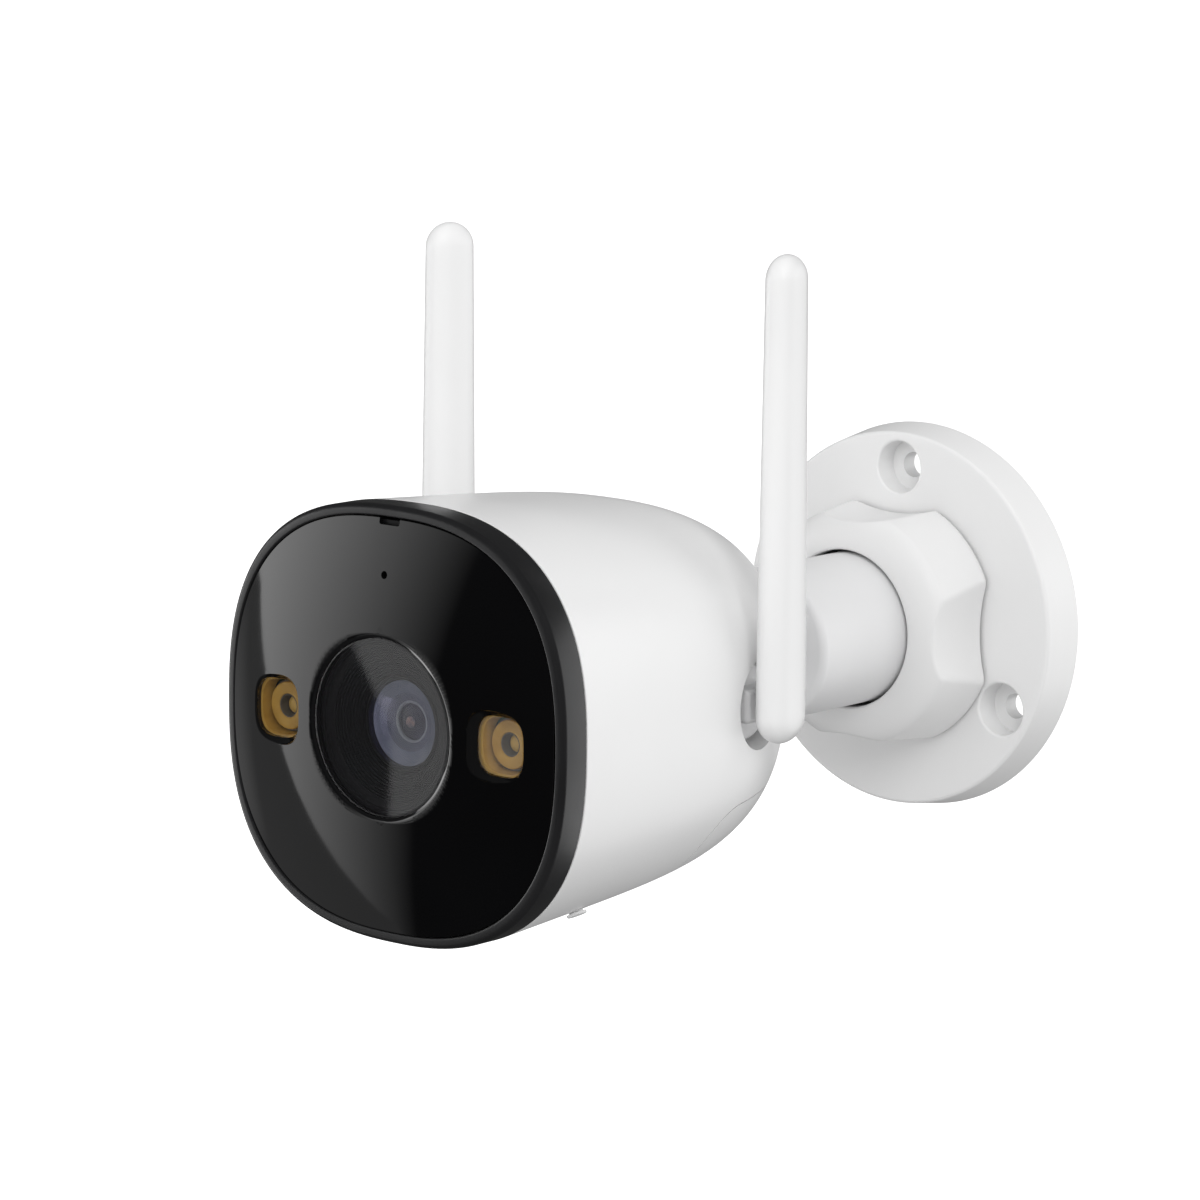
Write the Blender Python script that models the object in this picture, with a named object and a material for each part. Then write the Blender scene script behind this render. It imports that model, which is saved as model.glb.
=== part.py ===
"""Wall-mounted bullet security camera with two rod antennas.

Run with blender --background --python part.py, or from the text editor.
Lengths below are in millimetres and become metres through MM.  The camera looks along -Y and +Z
is up.  The origin is the centre of the wall plate's back face.  Most pieces are drawn in a
"forward" frame: local x is the camera's side, local y is up and local z is the distance in
front of the wall, so that a turned piece's axis is its local z.
"""
import math

import bmesh
import bpy
from mathutils import Vector

MM = 0.001
GAP = 0.3                  # clearance between touching solids
FACETS = 32                # sides of the large round pieces
SMALL_FACETS = 16          # sides of the small round pieces

# ---- wall plate, lock nut and arm ------------------------------------------------------------
PLATE_RADIUS = 35.0
PLATE_THICK = 7.8
PLATE_DRAFT = 1.3          # how much smaller the front rim is than the back rim
PLATE_FACETS = 40
PLATE_EDGE = 0.5           # small chamfer on the front rim
HOLE_CIRCLE = 27.5         # radius of the circle that the screw holes lie on
HOLE_COUNT = 3
HOLE_RADIUS = 2.3
COUNTERBORE_RADIUS = 4.7
COUNTERBORE_DEPTH = 4.6
SPIGOT_RADIUS = 17.6       # threaded boss that the nut screws on to
SPIGOT_END = 15.0
ARM_RADIUS = 13.6
ARM_FRONT = 46.0
ARM_EDGE = 1.2
ARM_WALL = 3.0
FLANGE_RADIUS = 17.2
FLANGE_THICK = 2.5
CLAMP_THICK = 1.8
NUT_RADIUS = 22.7
NUT_TAPER = 1.4            # the nut is this much smaller at its front edge
NUT_START = 8.4
NUT_LOBES = 4
NUT_SCALLOP = 1.9          # depth of the finger scallops
NUT_LIP = 3.1
NUT_CHAMFER = 3.0          # height of the rounded front edge
NUT_BORE_GAP = 0.9         # dark ring between the arm and the nut

# ---- elbow between the arm and the head ------------------------------------------------------
ELBOW_FORWARD = ARM_FRONT + 8.0
EAR_RADIUS = 6.6
EAR_INNER = 5.4
EAR_OUTER = 9.6
KNUCKLE_RADIUS = 6.4
PIN_RADIUS = 2.4
PIN_GAP = 0.15             # the pin is a close fit in the arm's ears
PIN_HEAD_RADIUS = 4.2
PIN_HEAD_THICK = 1.8
COLLAR_RADIUS = 8.0
COLLAR_THICK = 1.3
STEM_RADIUS = 5.0
RETAINER_RADIUS = 8.0
RETAINER_THICK = 2.4

# ---- housing ---------------------------------------------------------------------------------
HEAD_DROP = 0.9            # the head's axis is this far below the arm's
HOUSING_REAR = ELBOW_FORWARD + EAR_RADIUS + GAP + COLLAR_THICK + GAP
HOUSING_LENGTH = 74.0
HOUSING_FRONT = HOUSING_REAR + HOUSING_LENGTH
HOUSING_HALF_WIDTH = 37.1
HOUSING_HALF_HEIGHT = 36.1
OUTLINE_POWER = 2.52       # squareness of the rounded-square section
TAPER = 0.1406 / HOUSING_LENGTH     # narrowing for each millimetre behind the front edge
END_LENGTH = HOUSING_LENGTH + 2.0   # length at which the rounded rear would close
END_ROUNDING = 12.67       # length over which the rear rounds off
END_POWER = END_LENGTH / END_ROUNDING
WALL = 2.2
REAR_WALL = 3.0
HOUSING_RINGS = 8

# ---- front bezel, face plate and what shows in it --------------------------------------------
BEZEL_EDGE = HOUSING_FRONT + 3.9   # where the bezel's side starts to round over
BEZEL_LIP = BEZEL_EDGE + 2.0
BEZEL_LIP_WIDTH = 1.9
SEAT = BEZEL_EDGE - 0.2    # shelf that the face plate rests on
SKIRT_REAR = HOUSING_FRONT - 8.5
SKIRT_WALL = 2.0
PLATE_APEX = BEZEL_LIP + 3.1
PLATE_FALL = 3.44          # how far the face plate's crown falls by the head's half width
FACE_THICK = 1.7
LENS_HOLE_RADIUS = 14.8
LENS_BEVEL = 1.5
WINDOW_RECESS = 0.9
WINDOW_THICK = 1.0
HOOD_FRONT_RADIUS = 12.4
HOOD_FLANGE = 17.0
HOOD_LENGTH = 7.5
HOOD_FRONT_DEPTH = 2.0
HOOD_DEPTH = 5.0
BARREL_RADIUS = 7.9
BARREL_REAR = HOUSING_FRONT - 16.5
LENS_RADIUS = 7.2
LENS_CROWN = 2.6
REAR_LENS_RADIUS = 4.4
LED_OFFSET = 24.4
LED_HALF = 4.9
LED_BEVEL = 0.9
LED_POWER = 3.2
LED_DISC_RADIUS = 4.3
LED_DISC_DEPTH = 2.4
LED_WELL_RADIUS = 1.9
LED_WELL_DEPTH = 2.0
LED_DISC_THICK = 3.0
MIC_UP = 25.0
MIC_HOLE_RADIUS = 0.65
NOTCH_WIDTH = 5.2
NOTCH_HEIGHT = 1.6

# ---- inner frame and electronics -------------------------------------------------------------
FRAME_FRONT = HOUSING_FRONT - 2.1
FRAME_THICK = 2.0
FRAME_SCREW_CIRCLE = 26.4
FRAME_SCREW_ANGLES = (90.0, 210.0, 330.0)
BOSS_RADIUS = 3.4
BOSS_LENGTH = 12.0
FIN_LENGTH = 7.0
SCREW_RADIUS = 1.25
SCREW_HEAD_RADIUS = 2.4
SCREW_HEAD_THICK = 1.6
SCREW_LENGTH = 7.0
SENSOR_BOARD_FRONT = BARREL_REAR - 8.0
BOARD_THICK = 1.6
SENSOR_BOARD_SIDE = 38.0
HOLDER_WIDTH = 22.5
HOLDER_HEIGHT = 20.0
HOLDER_DEPTH = 10.0
HOLDER_CAVITY = 4.0
SENSOR_SIDE = 9.0
SENSOR_THICK = 1.2
FILTER_SIDE = 6.4
FILTER_THICK = 0.6
FILTER_TRAVEL = 6.5
MAIN_BOARD_LENGTH = 32.0
MAIN_BOARD_HEIGHT = 34.0
MAIN_BOARD_REAR = HOUSING_REAR + 10.5
MAIN_BOARD_SIDE = 8.0
GUIDE_WIDTH = 5.0          # ribs in the housing that the main board slides into
GUIDE_DEPTH = 2.8
GUIDE_LENGTH = 16.0
GUIDE_UPS = (-9.5, 11.8)   # heights of the two ribs on the rear wall
POST_PLACE = 15.5
POST_RADIUS = 2.6
CARD_WIDTH = 11.0
CARD_LENGTH = 15.0
CARD_THICK = 0.8
CARD_FORWARD = MAIN_BOARD_REAR + 11.5
SOCKET_THICK = 2.6
SOCKET_HEIGHT = 14.5
BUTTON_RADIUS = 1.5
BUTTON_FORWARD = MAIN_BOARD_REAR + 22.6
CABLE_LAP = 6.9            # the flat cable lies this far along the main board
BUTTON_TRAVEL = 0.4
BUTTON_END_GAP = 1.4       # from the button's lower end to the skin's inside
SPEAKER_RADIUS = 9.0
SPEAKER_THICK = 4.5
SPEAKER_FORWARD = HOUSING_FRONT - 23.5
GRILLE_SLOTS = 5
GRILLE_PITCH = 2.4
GRILLE_WIDTH = 1.1

# ---- breather, aerial leads and cable inlet ---------------------------------------------------
VENT_FORWARD = HOUSING_FRONT - 16.5
VENT_ANGLE = 60.0          # round the section, below the horizontal
VENT_RADIUS = 1.2
VENT_HEAD = 1.7
LEAD_RADIUS = 0.6
LEAD_STEPS = 10
GLAND_SIDE = -16.5
GLAND_DROP = 4.0
GLAND_SEAT = HOUSING_REAR + 2.5
GLAND_RADIUS = 3.0
GLAND_FLANGE = 4.6
INLET_RADIUS = 1.7

# ---- service cover under the rear ------------------------------------------------------------
COVER_FRONT = HOUSING_REAR + 34.5
COVER_TOP = 17.5           # seam height below the arm's axis
COVER_CORNER = 9.0
COVER_THICK = 1.8
COVER_SCREW_FORWARD = COVER_FRONT - 7.0
COVER_CUP_RADIUS = 3.6
COVER_CUP_FLOOR = 1.5
TRAY_BOSS_RADIUS = 5.2
TRAY_BOSS_LENGTH = 5.2
TRAY_LAP = 2.5
TRAY_THICK = 1.2

# ---- antennas --------------------------------------------------------------------------------
POCKET_FORWARD = HOUSING_REAR + 23.5
POCKET_RADIUS = 7.7
POCKET_FLOOR = HOUSING_HALF_WIDTH - 11.1   # distance of its floor from the middle plane
POCKET_WALL = 1.8
HUB_RADIUS = 6.6
HUB_THICK = 2.0
HUB_SHAFT_RADIUS = 2.4
LUG_HEIGHT = 5.8
LUG_WIDTH = 9.0
ANTENNA_SIDE = HOUSING_HALF_WIDTH - 0.1
ANTENNA_FORWARD = POCKET_FORWARD + 1.5
ANTENNA_TOP = 74.6
ANTENNA_BOTTOM = 6.6
ANTENNA_BREADTH = 5.2      # half size across the flat faces, at the hub
ANTENNA_DEPTH = 3.5        # half thickness at the hub
ANTENNA_POWER = 2.3
ANTENNA_FACETS = 16
ANTENNA_NARROWING = 0.15   # share of the section lost at the top
ANTENNA_CANT = 11.0        # degrees that the flats turn to follow the tapering housing

AXIS_FORWARD = (math.pi / 2, 0, 0)        # turns local z to point away from the wall
AXIS_SIDE = (0, math.pi / 2, 0)           # turns local z to point along +X
AXIS_DOWN = (math.pi, 0, 0)               # turns local z to point straight down


# ---- helpers ---------------------------------------------------------------------------------
def clear_scene():
    for old in list(bpy.data.objects):
        bpy.data.objects.remove(old, do_unlink=True)


def material(name, colour, roughness, metallic=0.0, alpha=1.0):
    found = bpy.data.materials.get(name)
    if found:
        return found
    made = bpy.data.materials.new(name)
    made.use_nodes = True
    shader = made.node_tree.nodes["Principled BSDF"]
    shader.inputs["Base Color"].default_value = (*colour, 1.0)
    shader.inputs["Roughness"].default_value = roughness
    shader.inputs["Metallic"].default_value = metallic
    shader.inputs["Alpha"].default_value = alpha
    return made


def white_plastic():
    return material("white_plastic", (0.86, 0.86, 0.85), 0.38)


def black_plastic():
    return material("black_plastic", (0.02, 0.02, 0.021), 0.45)


def clear_plastic():
    return material("clear_plastic", (0.85, 0.9, 0.95), 0.05, alpha=0.35)


def circuit_board():
    return material("circuit_board", (0.02, 0.16, 0.07), 0.5)


def steel():
    return material("steel", (0.62, 0.62, 0.64), 0.3, 1.0)


def rubber():
    return material("rubber", (0.03, 0.03, 0.03), 0.85)


def forward_point(side, up, forward):
    """World position in metres of a point given beside, above and in front of the wall plate."""
    return Vector((side * MM, -forward * MM, up * MM))


def pivot(name, side, up, forward, parent=None):
    """An empty on a joint's axis, which carries the pieces that move about it."""
    empty = bpy.data.objects.new(name, None)
    bpy.context.collection.objects.link(empty)
    empty.parent = parent
    place = forward_point(side, up, forward)
    empty.location = place - world_place(parent)
    return empty


def world_place(obj):
    place = Vector((0, 0, 0))
    while obj is not None:
        place += obj.location
        obj = obj.parent
    return place


def finish_mesh(name, bm, look, parent, place=(0, 0, 0), turn=(0, 0, 0), smooth=40.0):
    """Turn a bmesh drawn in millimetres into a placed, shaded object."""
    bmesh.ops.remove_doubles(bm, verts=bm.verts, dist=0.001)
    bmesh.ops.dissolve_degenerate(bm, edges=bm.edges, dist=0.0005)
    bmesh.ops.recalc_face_normals(bm, faces=bm.faces)
    bmesh.ops.scale(bm, vec=(MM, MM, MM), verts=bm.verts)
    mesh = bpy.data.meshes.new(name)
    bm.to_mesh(mesh)
    bm.free()
    obj = bpy.data.objects.new(name, mesh)
    bpy.context.collection.objects.link(obj)
    obj.parent = parent
    obj.location = forward_point(*place) - world_place(parent)
    obj.rotation_euler = turn
    if look:
        mesh.materials.append(look)
    mesh.shade_smooth()
    mesh.set_sharp_from_angle(angle=math.radians(smooth))
    return obj


def turned(name, profile, look, parent, place=(0, 0, 0), turn=AXIS_FORWARD, facets=FACETS):
    """A solid of revolution: profile is a closed loop of (radius, distance along the axis)."""
    bm = bmesh.new()
    rings = []
    for radius, along in profile:
        steps = facets if radius > 0 else 1
        ring = []
        for i in range(steps):
            angle = 2 * math.pi * i / facets
            ring.append(bm.verts.new((radius * math.cos(angle), radius * math.sin(angle), along)))
        rings.append(ring)
    for i in range(len(rings)):
        join_rings(bm, rings[i - 1], rings[i])
    return finish_mesh(name, bm, look, parent, place, turn)


def join_rings(bm, first, second):
    """Faces between two rings, either of which may be a single point on the axis."""
    if len(first) == 1 and len(second) == 1:
        return
    if len(first) == 1 or len(second) == 1:
        tip, ring = (first, second) if len(first) == 1 else (second, first)
        if tip[0].co.z == ring[0].co.z:
            bm.verts.remove(tip[0])
            bm.faces.new(ring)
            return
        for i in range(len(ring)):
            bm.faces.new((tip[0], ring[i - 1], ring[i]))
        return
    for i in range(len(first)):
        bm.faces.new((first[i - 1], first[i], second[i], second[i - 1]))


def disc(name, radius, low, high, look, parent, place=(0, 0, 0), turn=AXIS_FORWARD,
         bore=0.0, facets=SMALL_FACETS):
    """A plain disc or ring between two distances along its axis."""
    profile = [(bore, low), (radius, low), (radius, high), (bore, high)]
    return turned(name, profile, look, parent, place, turn, facets)


def lofted(name, rings, look, parent, place=(0, 0, 0), turn=AXIS_FORWARD, closed=False,
           smooth=40.0):
    """A skin over rings of points; it is capped at both ends, or joined end to end."""
    bm = bmesh.new()
    loops = []
    for ring in rings:
        verts = [bm.verts.new(point) for point in ring]
        loops.append(verts)
    pairs = list(zip(loops, loops[1:]))
    if closed:
        pairs.append((loops[-1], loops[0]))
    for first, second in pairs:
        count = len(first)
        for i in range(count):
            j = (i + 1) % count
            bm.faces.new((first[i], first[j], second[j], second[i]))
    bmesh.ops.triangulate(bm, faces=bm.faces)
    if not closed:
        bm.faces.new(loops[0])
        bm.faces.new(loops[-1])
    return finish_mesh(name, bm, look, parent, place, turn, smooth)


def prism(name, outline, low, high, look, parent, place=(0, 0, 0), turn=AXIS_FORWARD):
    """An outline of (x, y) points extruded between two distances along local z."""
    rings = [[(x, y, level) for x, y in outline] for level in (low, high)]
    return lofted(name, rings, look, parent, place, turn, smooth=30.0)


def block(name, size, look, parent, place, turn=AXIS_FORWARD, chamfer=0.0):
    """A box centred on its place; size is across, up and forward."""
    bm = bmesh.new()
    bmesh.ops.create_cube(bm, size=1.0)
    bmesh.ops.scale(bm, vec=size, verts=bm.verts)
    if chamfer:
        bmesh.ops.bevel(bm, geom=bm.edges[:], offset=chamfer, segments=1, affect='EDGES')
    return finish_mesh(name, bm, look, parent, place, turn, smooth=30.0)


def cut(target, cutter, operation='DIFFERENCE'):
    """Add a Boolean to target and hide its cutter from every build."""
    cutter.hide_render = True
    cutter.display_type = 'WIRE'
    modifier = target.modifiers.new(cutter.name, 'BOOLEAN')
    modifier.object = cutter
    modifier.operation = operation
    modifier.solver = 'EXACT'


def rounded_square(half_width, half_height, power=OUTLINE_POWER, count=FACETS):
    """Points of a superellipse, which is the outline of the head's section."""
    points = []
    for i in range(count):
        angle = 2 * math.pi * i / count
        c = math.cos(angle)
        s = math.sin(angle)
        x = half_width * math.copysign(abs(c) ** (2 / power), c)
        y = half_height * math.copysign(abs(s) ** (2 / power), s)
        points.append((x, y))
    return points


def section(inset, forward, end_shift=0.0):
    """Outline of the housing at a distance from the wall, set in from its outer surface."""
    behind = max(HOUSING_FRONT - forward, 0.0)
    closing = 1 - (behind / (END_LENGTH - end_shift)) ** END_POWER
    share = (1 - TAPER * behind) * math.sqrt(max(closing, 0.0))
    half_width = HOUSING_HALF_WIDTH * share - inset
    half_height = HOUSING_HALF_HEIGHT * share - inset
    return [(x, y, forward) for x, y in rounded_square(half_width, half_height)]


def skin_radius(degrees, forward):
    """Distance from the head's axis to its skin in a given direction round the section."""
    share = 1 - TAPER * (HOUSING_FRONT - forward)
    across = abs(math.cos(math.radians(degrees))) / (HOUSING_HALF_WIDTH * share)
    upward = abs(math.sin(math.radians(degrees))) / (HOUSING_HALF_HEIGHT * share)
    return (across ** OUTLINE_POWER + upward ** OUTLINE_POWER) ** (-1 / OUTLINE_POWER)


def half_height_at(forward):
    return max(y for x, y, f in section(0.0, forward))


def stations(rear, front, count):
    """Distances between two ends, closer together towards the rounded rear."""
    return [rear + (front - rear) * (i / (count - 1)) ** 1.6 for i in range(count)]


def shell_rings(outer, outer_shift, rear, thick, inner_rear, front):
    """Rings that run up the outside of the head and back down its inside."""
    inner = outer + thick
    outside = [section(outer, f, outer_shift) for f in stations(rear, front, HOUSING_RINGS)]
    inside = [section(inner, f, outer_shift + thick)
              for f in stations(inner_rear, front, HOUSING_RINGS)]
    return outside + inside[::-1]


def crown(x, y):
    """Distance from the wall of the face plate's front surface."""
    return PLATE_APEX - PLATE_FALL * (x * x + y * y) / HOUSING_HALF_WIDTH ** 2


def head_point(side, up, forward):
    return (side, up - HEAD_DROP, forward)


# ---- wall bracket ----------------------------------------------------------------------------
def make_wall_plate():
    rim = PLATE_RADIUS - PLATE_DRAFT
    profile = [
        (0, 0), (PLATE_RADIUS, 0), (rim + PLATE_EDGE / 4, PLATE_THICK - PLATE_EDGE),
        (rim - PLATE_EDGE, PLATE_THICK), (SPIGOT_RADIUS, PLATE_THICK),
        (SPIGOT_RADIUS, SPIGOT_END), (ARM_RADIUS - ARM_WALL, SPIGOT_END),
        (ARM_RADIUS - ARM_WALL, PLATE_THICK), (0, PLATE_THICK),
    ]
    plate = turned("wall_plate", profile, white_plastic(), None, facets=PLATE_FACETS)
    for i in range(HOLE_COUNT):
        angle = math.radians(90 + 360 * i / HOLE_COUNT)
        place = (HOLE_CIRCLE * math.cos(angle), HOLE_CIRCLE * math.sin(angle), 0)
        hole = disc(f"hole_cutter_{i}", HOLE_RADIUS, -1, PLATE_THICK, None, None, place)
        bore = disc(f"counterbore_cutter_{i}", COUNTERBORE_RADIUS,
                    PLATE_THICK - COUNTERBORE_DEPTH, PLATE_THICK + 1, None, None, place)
        cut(plate, hole)
        cut(plate, bore)


def nut_front():
    return SPIGOT_END + GAP + FLANGE_THICK + GAP + CLAMP_THICK + GAP + NUT_LIP


def nut_outline(radius, scallop, count=40):
    """Round outline with finger scallops centred on the four axes."""
    points = []
    for i in range(count):
        angle = 2 * math.pi * i / count
        phase = math.cos(NUT_LOBES * angle)
        points.append((radius - scallop * max(phase, 0.0) ** 0.8, angle))
    return [(r * math.cos(a), r * math.sin(a)) for r, a in points]


def make_lock_nut(axis):
    front = nut_front()
    shoulder = front - NUT_CHAMFER
    levels = (
        (NUT_RADIUS, NUT_SCALLOP, NUT_START), (NUT_RADIUS - NUT_TAPER, NUT_SCALLOP, shoulder),
        (NUT_RADIUS - NUT_TAPER - 0.9, NUT_SCALLOP, shoulder + 1.1),
        (NUT_RADIUS - NUT_TAPER - 3.2, NUT_SCALLOP / 2, front - 0.5),
        (NUT_RADIUS - NUT_TAPER - 5.2, 0.0, front),
    )
    rings = [[(x, y, level) for x, y in nut_outline(radius, scallop)]
             for radius, scallop, level in levels]
    nut = lofted("lock_nut", rings, white_plastic(), axis)
    thread = SPIGOT_RADIUS + GAP
    bore = ARM_RADIUS + NUT_BORE_GAP
    lip_back = front - NUT_LIP
    profile = [(0, NUT_START - 1), (thread, NUT_START - 1), (thread, lip_back),
               (bore, lip_back), (bore, front + 1), (0, front + 1)]
    cut(nut, turned("nut_cutter", profile, None, axis))


def make_clamp_ring(axis):
    low = SPIGOT_END + GAP + FLANGE_THICK + GAP
    disc("clamp_ring", FLANGE_RADIUS, low, low + CLAMP_THICK, black_plastic(), axis,
         bore=ARM_RADIUS + GAP, facets=FACETS)


def make_arm(axis):
    flange_low = SPIGOT_END + GAP
    inner = ARM_RADIUS - ARM_WALL
    profile = [
        (inner, flange_low), (FLANGE_RADIUS, flange_low),
        (FLANGE_RADIUS, flange_low + FLANGE_THICK), (ARM_RADIUS, flange_low + FLANGE_THICK),
        (ARM_RADIUS, ARM_FRONT - ARM_EDGE),
        (ARM_RADIUS - 0.35 * ARM_EDGE, ARM_FRONT - 0.35 * ARM_EDGE),
        (ARM_RADIUS - ARM_EDGE, ARM_FRONT), (0, ARM_FRONT), (0, ARM_FRONT - ARM_WALL),
        (inner, ARM_FRONT - ARM_WALL),
    ]
    arm = turned("arm", profile, white_plastic(), axis)
    for side in (-1, 1):
        ear = prism(f"ear_shape_{side}", ear_outline(), EAR_INNER, EAR_OUTER, None, axis,
                    (0, 0, 0), AXIS_SIDE if side > 0 else (0, -math.pi / 2, 0))
        cut(arm, ear, 'UNION')
    cut(arm, disc("pin_cutter", PIN_RADIUS + PIN_GAP, -EAR_OUTER - 1, EAR_OUTER + 1, None, axis,
                  (0, 0, ELBOW_FORWARD), AXIS_SIDE))


def ear_outline():
    """An ear's side view: a tongue from the arm's front that is round about the pivot."""
    root = -(ARM_FRONT - 1.0)
    points = [(EAR_RADIUS, root), (-EAR_RADIUS, root)]
    for i in range(SMALL_FACETS // 2 + 1):
        angle = math.pi + math.pi * i / (SMALL_FACETS // 2)
        points.append((EAR_RADIUS * math.cos(angle),
                       -ELBOW_FORWARD + EAR_RADIUS * math.sin(angle)))
    return points


def make_elbow_pin(axis):
    profile = [
        (0, -EAR_OUTER - 0.8), (PIN_RADIUS, -EAR_OUTER - 0.8), (PIN_RADIUS, EAR_OUTER + GAP),
        (PIN_HEAD_RADIUS, EAR_OUTER + GAP), (PIN_HEAD_RADIUS, EAR_OUTER + GAP + PIN_HEAD_THICK),
        (0, EAR_OUTER + GAP + PIN_HEAD_THICK),
    ]
    turned("elbow_pin", profile, steel(), axis, (0, 0, ELBOW_FORWARD), AXIS_SIDE, SMALL_FACETS)


def make_elbow_knuckle(elbow):
    width = EAR_INNER - GAP
    barrel = disc("elbow_knuckle", KNUCKLE_RADIUS, -width, width, white_plastic(), elbow,
                  (0, 0, ELBOW_FORWARD), AXIS_SIDE, facets=32)
    collar_back = ELBOW_FORWARD + EAR_RADIUS + GAP
    collar_front = HOUSING_REAR - GAP
    stem_end = HOUSING_REAR + REAR_WALL + GAP + RETAINER_THICK + 1.0
    profile = [
        (0, ELBOW_FORWARD), (STEM_RADIUS, ELBOW_FORWARD), (STEM_RADIUS, collar_back),
        (COLLAR_RADIUS, collar_back), (COLLAR_RADIUS, collar_front),
        (STEM_RADIUS, collar_front), (STEM_RADIUS, stem_end), (0, stem_end),
    ]
    cut(barrel, turned("stem_shape", profile, None, elbow, facets=SMALL_FACETS), 'UNION')
    cut(barrel, disc("knuckle_bore_cutter", PIN_RADIUS + GAP, -width - 1, width + 1, None, elbow,
                     (0, 0, ELBOW_FORWARD), AXIS_SIDE))


def make_stem_retainer(elbow):
    low = HOUSING_REAR + REAR_WALL + GAP
    nut = disc("stem_retainer", RETAINER_RADIUS, low, low + RETAINER_THICK, steel(), elbow,
               facets=6)
    cut(nut, disc("retainer_bore_cutter", STEM_RADIUS + GAP, low - 1, low + RETAINER_THICK + 1,
                  None, elbow))


# ---- housing ---------------------------------------------------------------------------------
def service_outline(grow):
    """Side view of the opening under the rear, as (up, minus forward) about the arm's axis."""
    front = COVER_FRONT + grow
    top = -COVER_TOP + grow
    radius = COVER_CORNER + grow
    points = [(top + 2.0, -(HOUSING_REAR - 4)), (top + 1.4, -(HOUSING_REAR + 10))]
    for i in range(7):
        angle = math.radians(90 * i / 6)
        points.append((top - radius * (1 - math.cos(angle)),
                       -(front - radius * (1 - math.sin(angle)))))
    bottom = -HOUSING_HALF_HEIGHT - 8
    points += [(bottom, -front), (bottom, -(HOUSING_REAR - 4))]
    return points


def service_prism(name, grow, head):
    """The opening's side view carried right across the housing."""
    reach = HOUSING_HALF_WIDTH + 5
    outline = [(-up, forward) for up, forward in service_outline(grow)]
    return prism(name, outline, -reach, reach, None, head, (0, 0, 0), AXIS_SIDE)


def make_housing(head):
    rings = shell_rings(0.0, 0.0, HOUSING_REAR, WALL, HOUSING_REAR + REAR_WALL, HOUSING_FRONT)
    housing = lofted("housing", rings, white_plastic(), head, head_point(0, 0, 0))
    pocket_place = head_point(0, 0, POCKET_FORWARD)
    for side in (-1, 1):
        cut(housing, disc(f"pocket_cup_{side}", POCKET_RADIUS + POCKET_WALL,
                          POCKET_FLOOR - POCKET_WALL, POCKET_FLOOR + 3.5, None, head,
                          pocket_place, side_turn(side), facets=32), 'UNION')
    boss_front = FRAME_FRONT - FRAME_THICK - GAP
    fin_middle = SKIRT_REAR - GAP - FIN_LENGTH / 2
    for i, angle in enumerate(FRAME_SCREW_ANGLES):
        x, y = on_circle(FRAME_SCREW_CIRCLE, angle)
        reach = skin_radius(angle, SKIRT_REAR) - WALL / 2 - FRAME_SCREW_CIRCLE
        cut(housing, disc(f"boss_shape_{i}", BOSS_RADIUS, boss_front - BOSS_LENGTH, boss_front,
                          None, head, head_point(x, y, 0)), 'UNION')
        fin_x, fin_y = on_circle(FRAME_SCREW_CIRCLE + reach / 2, angle)
        cut(housing, block(f"boss_fin_{i}", (BOSS_RADIUS, reach, FIN_LENGTH), None, head,
                           head_point(fin_x, fin_y, fin_middle),
                           (math.pi / 2, math.radians(90 - angle), 0)), 'UNION')
    cut_board_guides(housing, head)
    for side in (-1, 1):
        cut(housing, disc(f"pocket_cutter_{side}", POCKET_RADIUS, POCKET_FLOOR,
                          HOUSING_HALF_WIDTH + 4, None, head, pocket_place, side_turn(side),
                          facets=32))
        cut(housing, disc(f"shaft_cutter_{side}", HUB_SHAFT_RADIUS + GAP, POCKET_FLOOR - 4,
                          POCKET_FLOOR + 2, None, head, pocket_place, side_turn(side)))
    for i, angle in enumerate(FRAME_SCREW_ANGLES):
        x, y = on_circle(FRAME_SCREW_CIRCLE, angle)
        cut(housing, disc(f"pilot_cutter_{i}", SCREW_RADIUS + GAP, boss_front - 8,
                          boss_front + 1, None, head, head_point(x, y, 0)))
    cut(housing, disc("stem_cutter", STEM_RADIUS + GAP, HOUSING_REAR - 2,
                      HOUSING_REAR + REAR_WALL + 2, None, head))
    cut(housing, service_prism("service_cutter", 0.0, head))
    for i in range(GRILLE_SLOTS):
        forward = SPEAKER_FORWARD + GRILLE_PITCH * (i - (GRILLE_SLOTS - 1) / 2)
        slot = block(f"grille_cutter_{i}", (9.0, 14.0, GRILLE_WIDTH), None, head,
                     head_point(0, -HOUSING_HALF_HEIGHT, forward))
        cut(housing, slot)
    cut(housing, disc("vent_cutter", VENT_RADIUS + GAP, -6, 6, None, head, vent_place(),
                      vent_turn(), facets=12))
    cut(housing, disc("gland_seat_cutter", GLAND_FLANGE + GAP, HOUSING_REAR - 6, GLAND_SEAT,
                      None, head, gland_place()))
    cut(housing, disc("gland_cutter", GLAND_RADIUS + GAP, HOUSING_REAR - 6, GLAND_SEAT + 9,
                      None, head, gland_place()))


def board_middle():
    return MAIN_BOARD_REAR + MAIN_BOARD_LENGTH / 2


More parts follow.
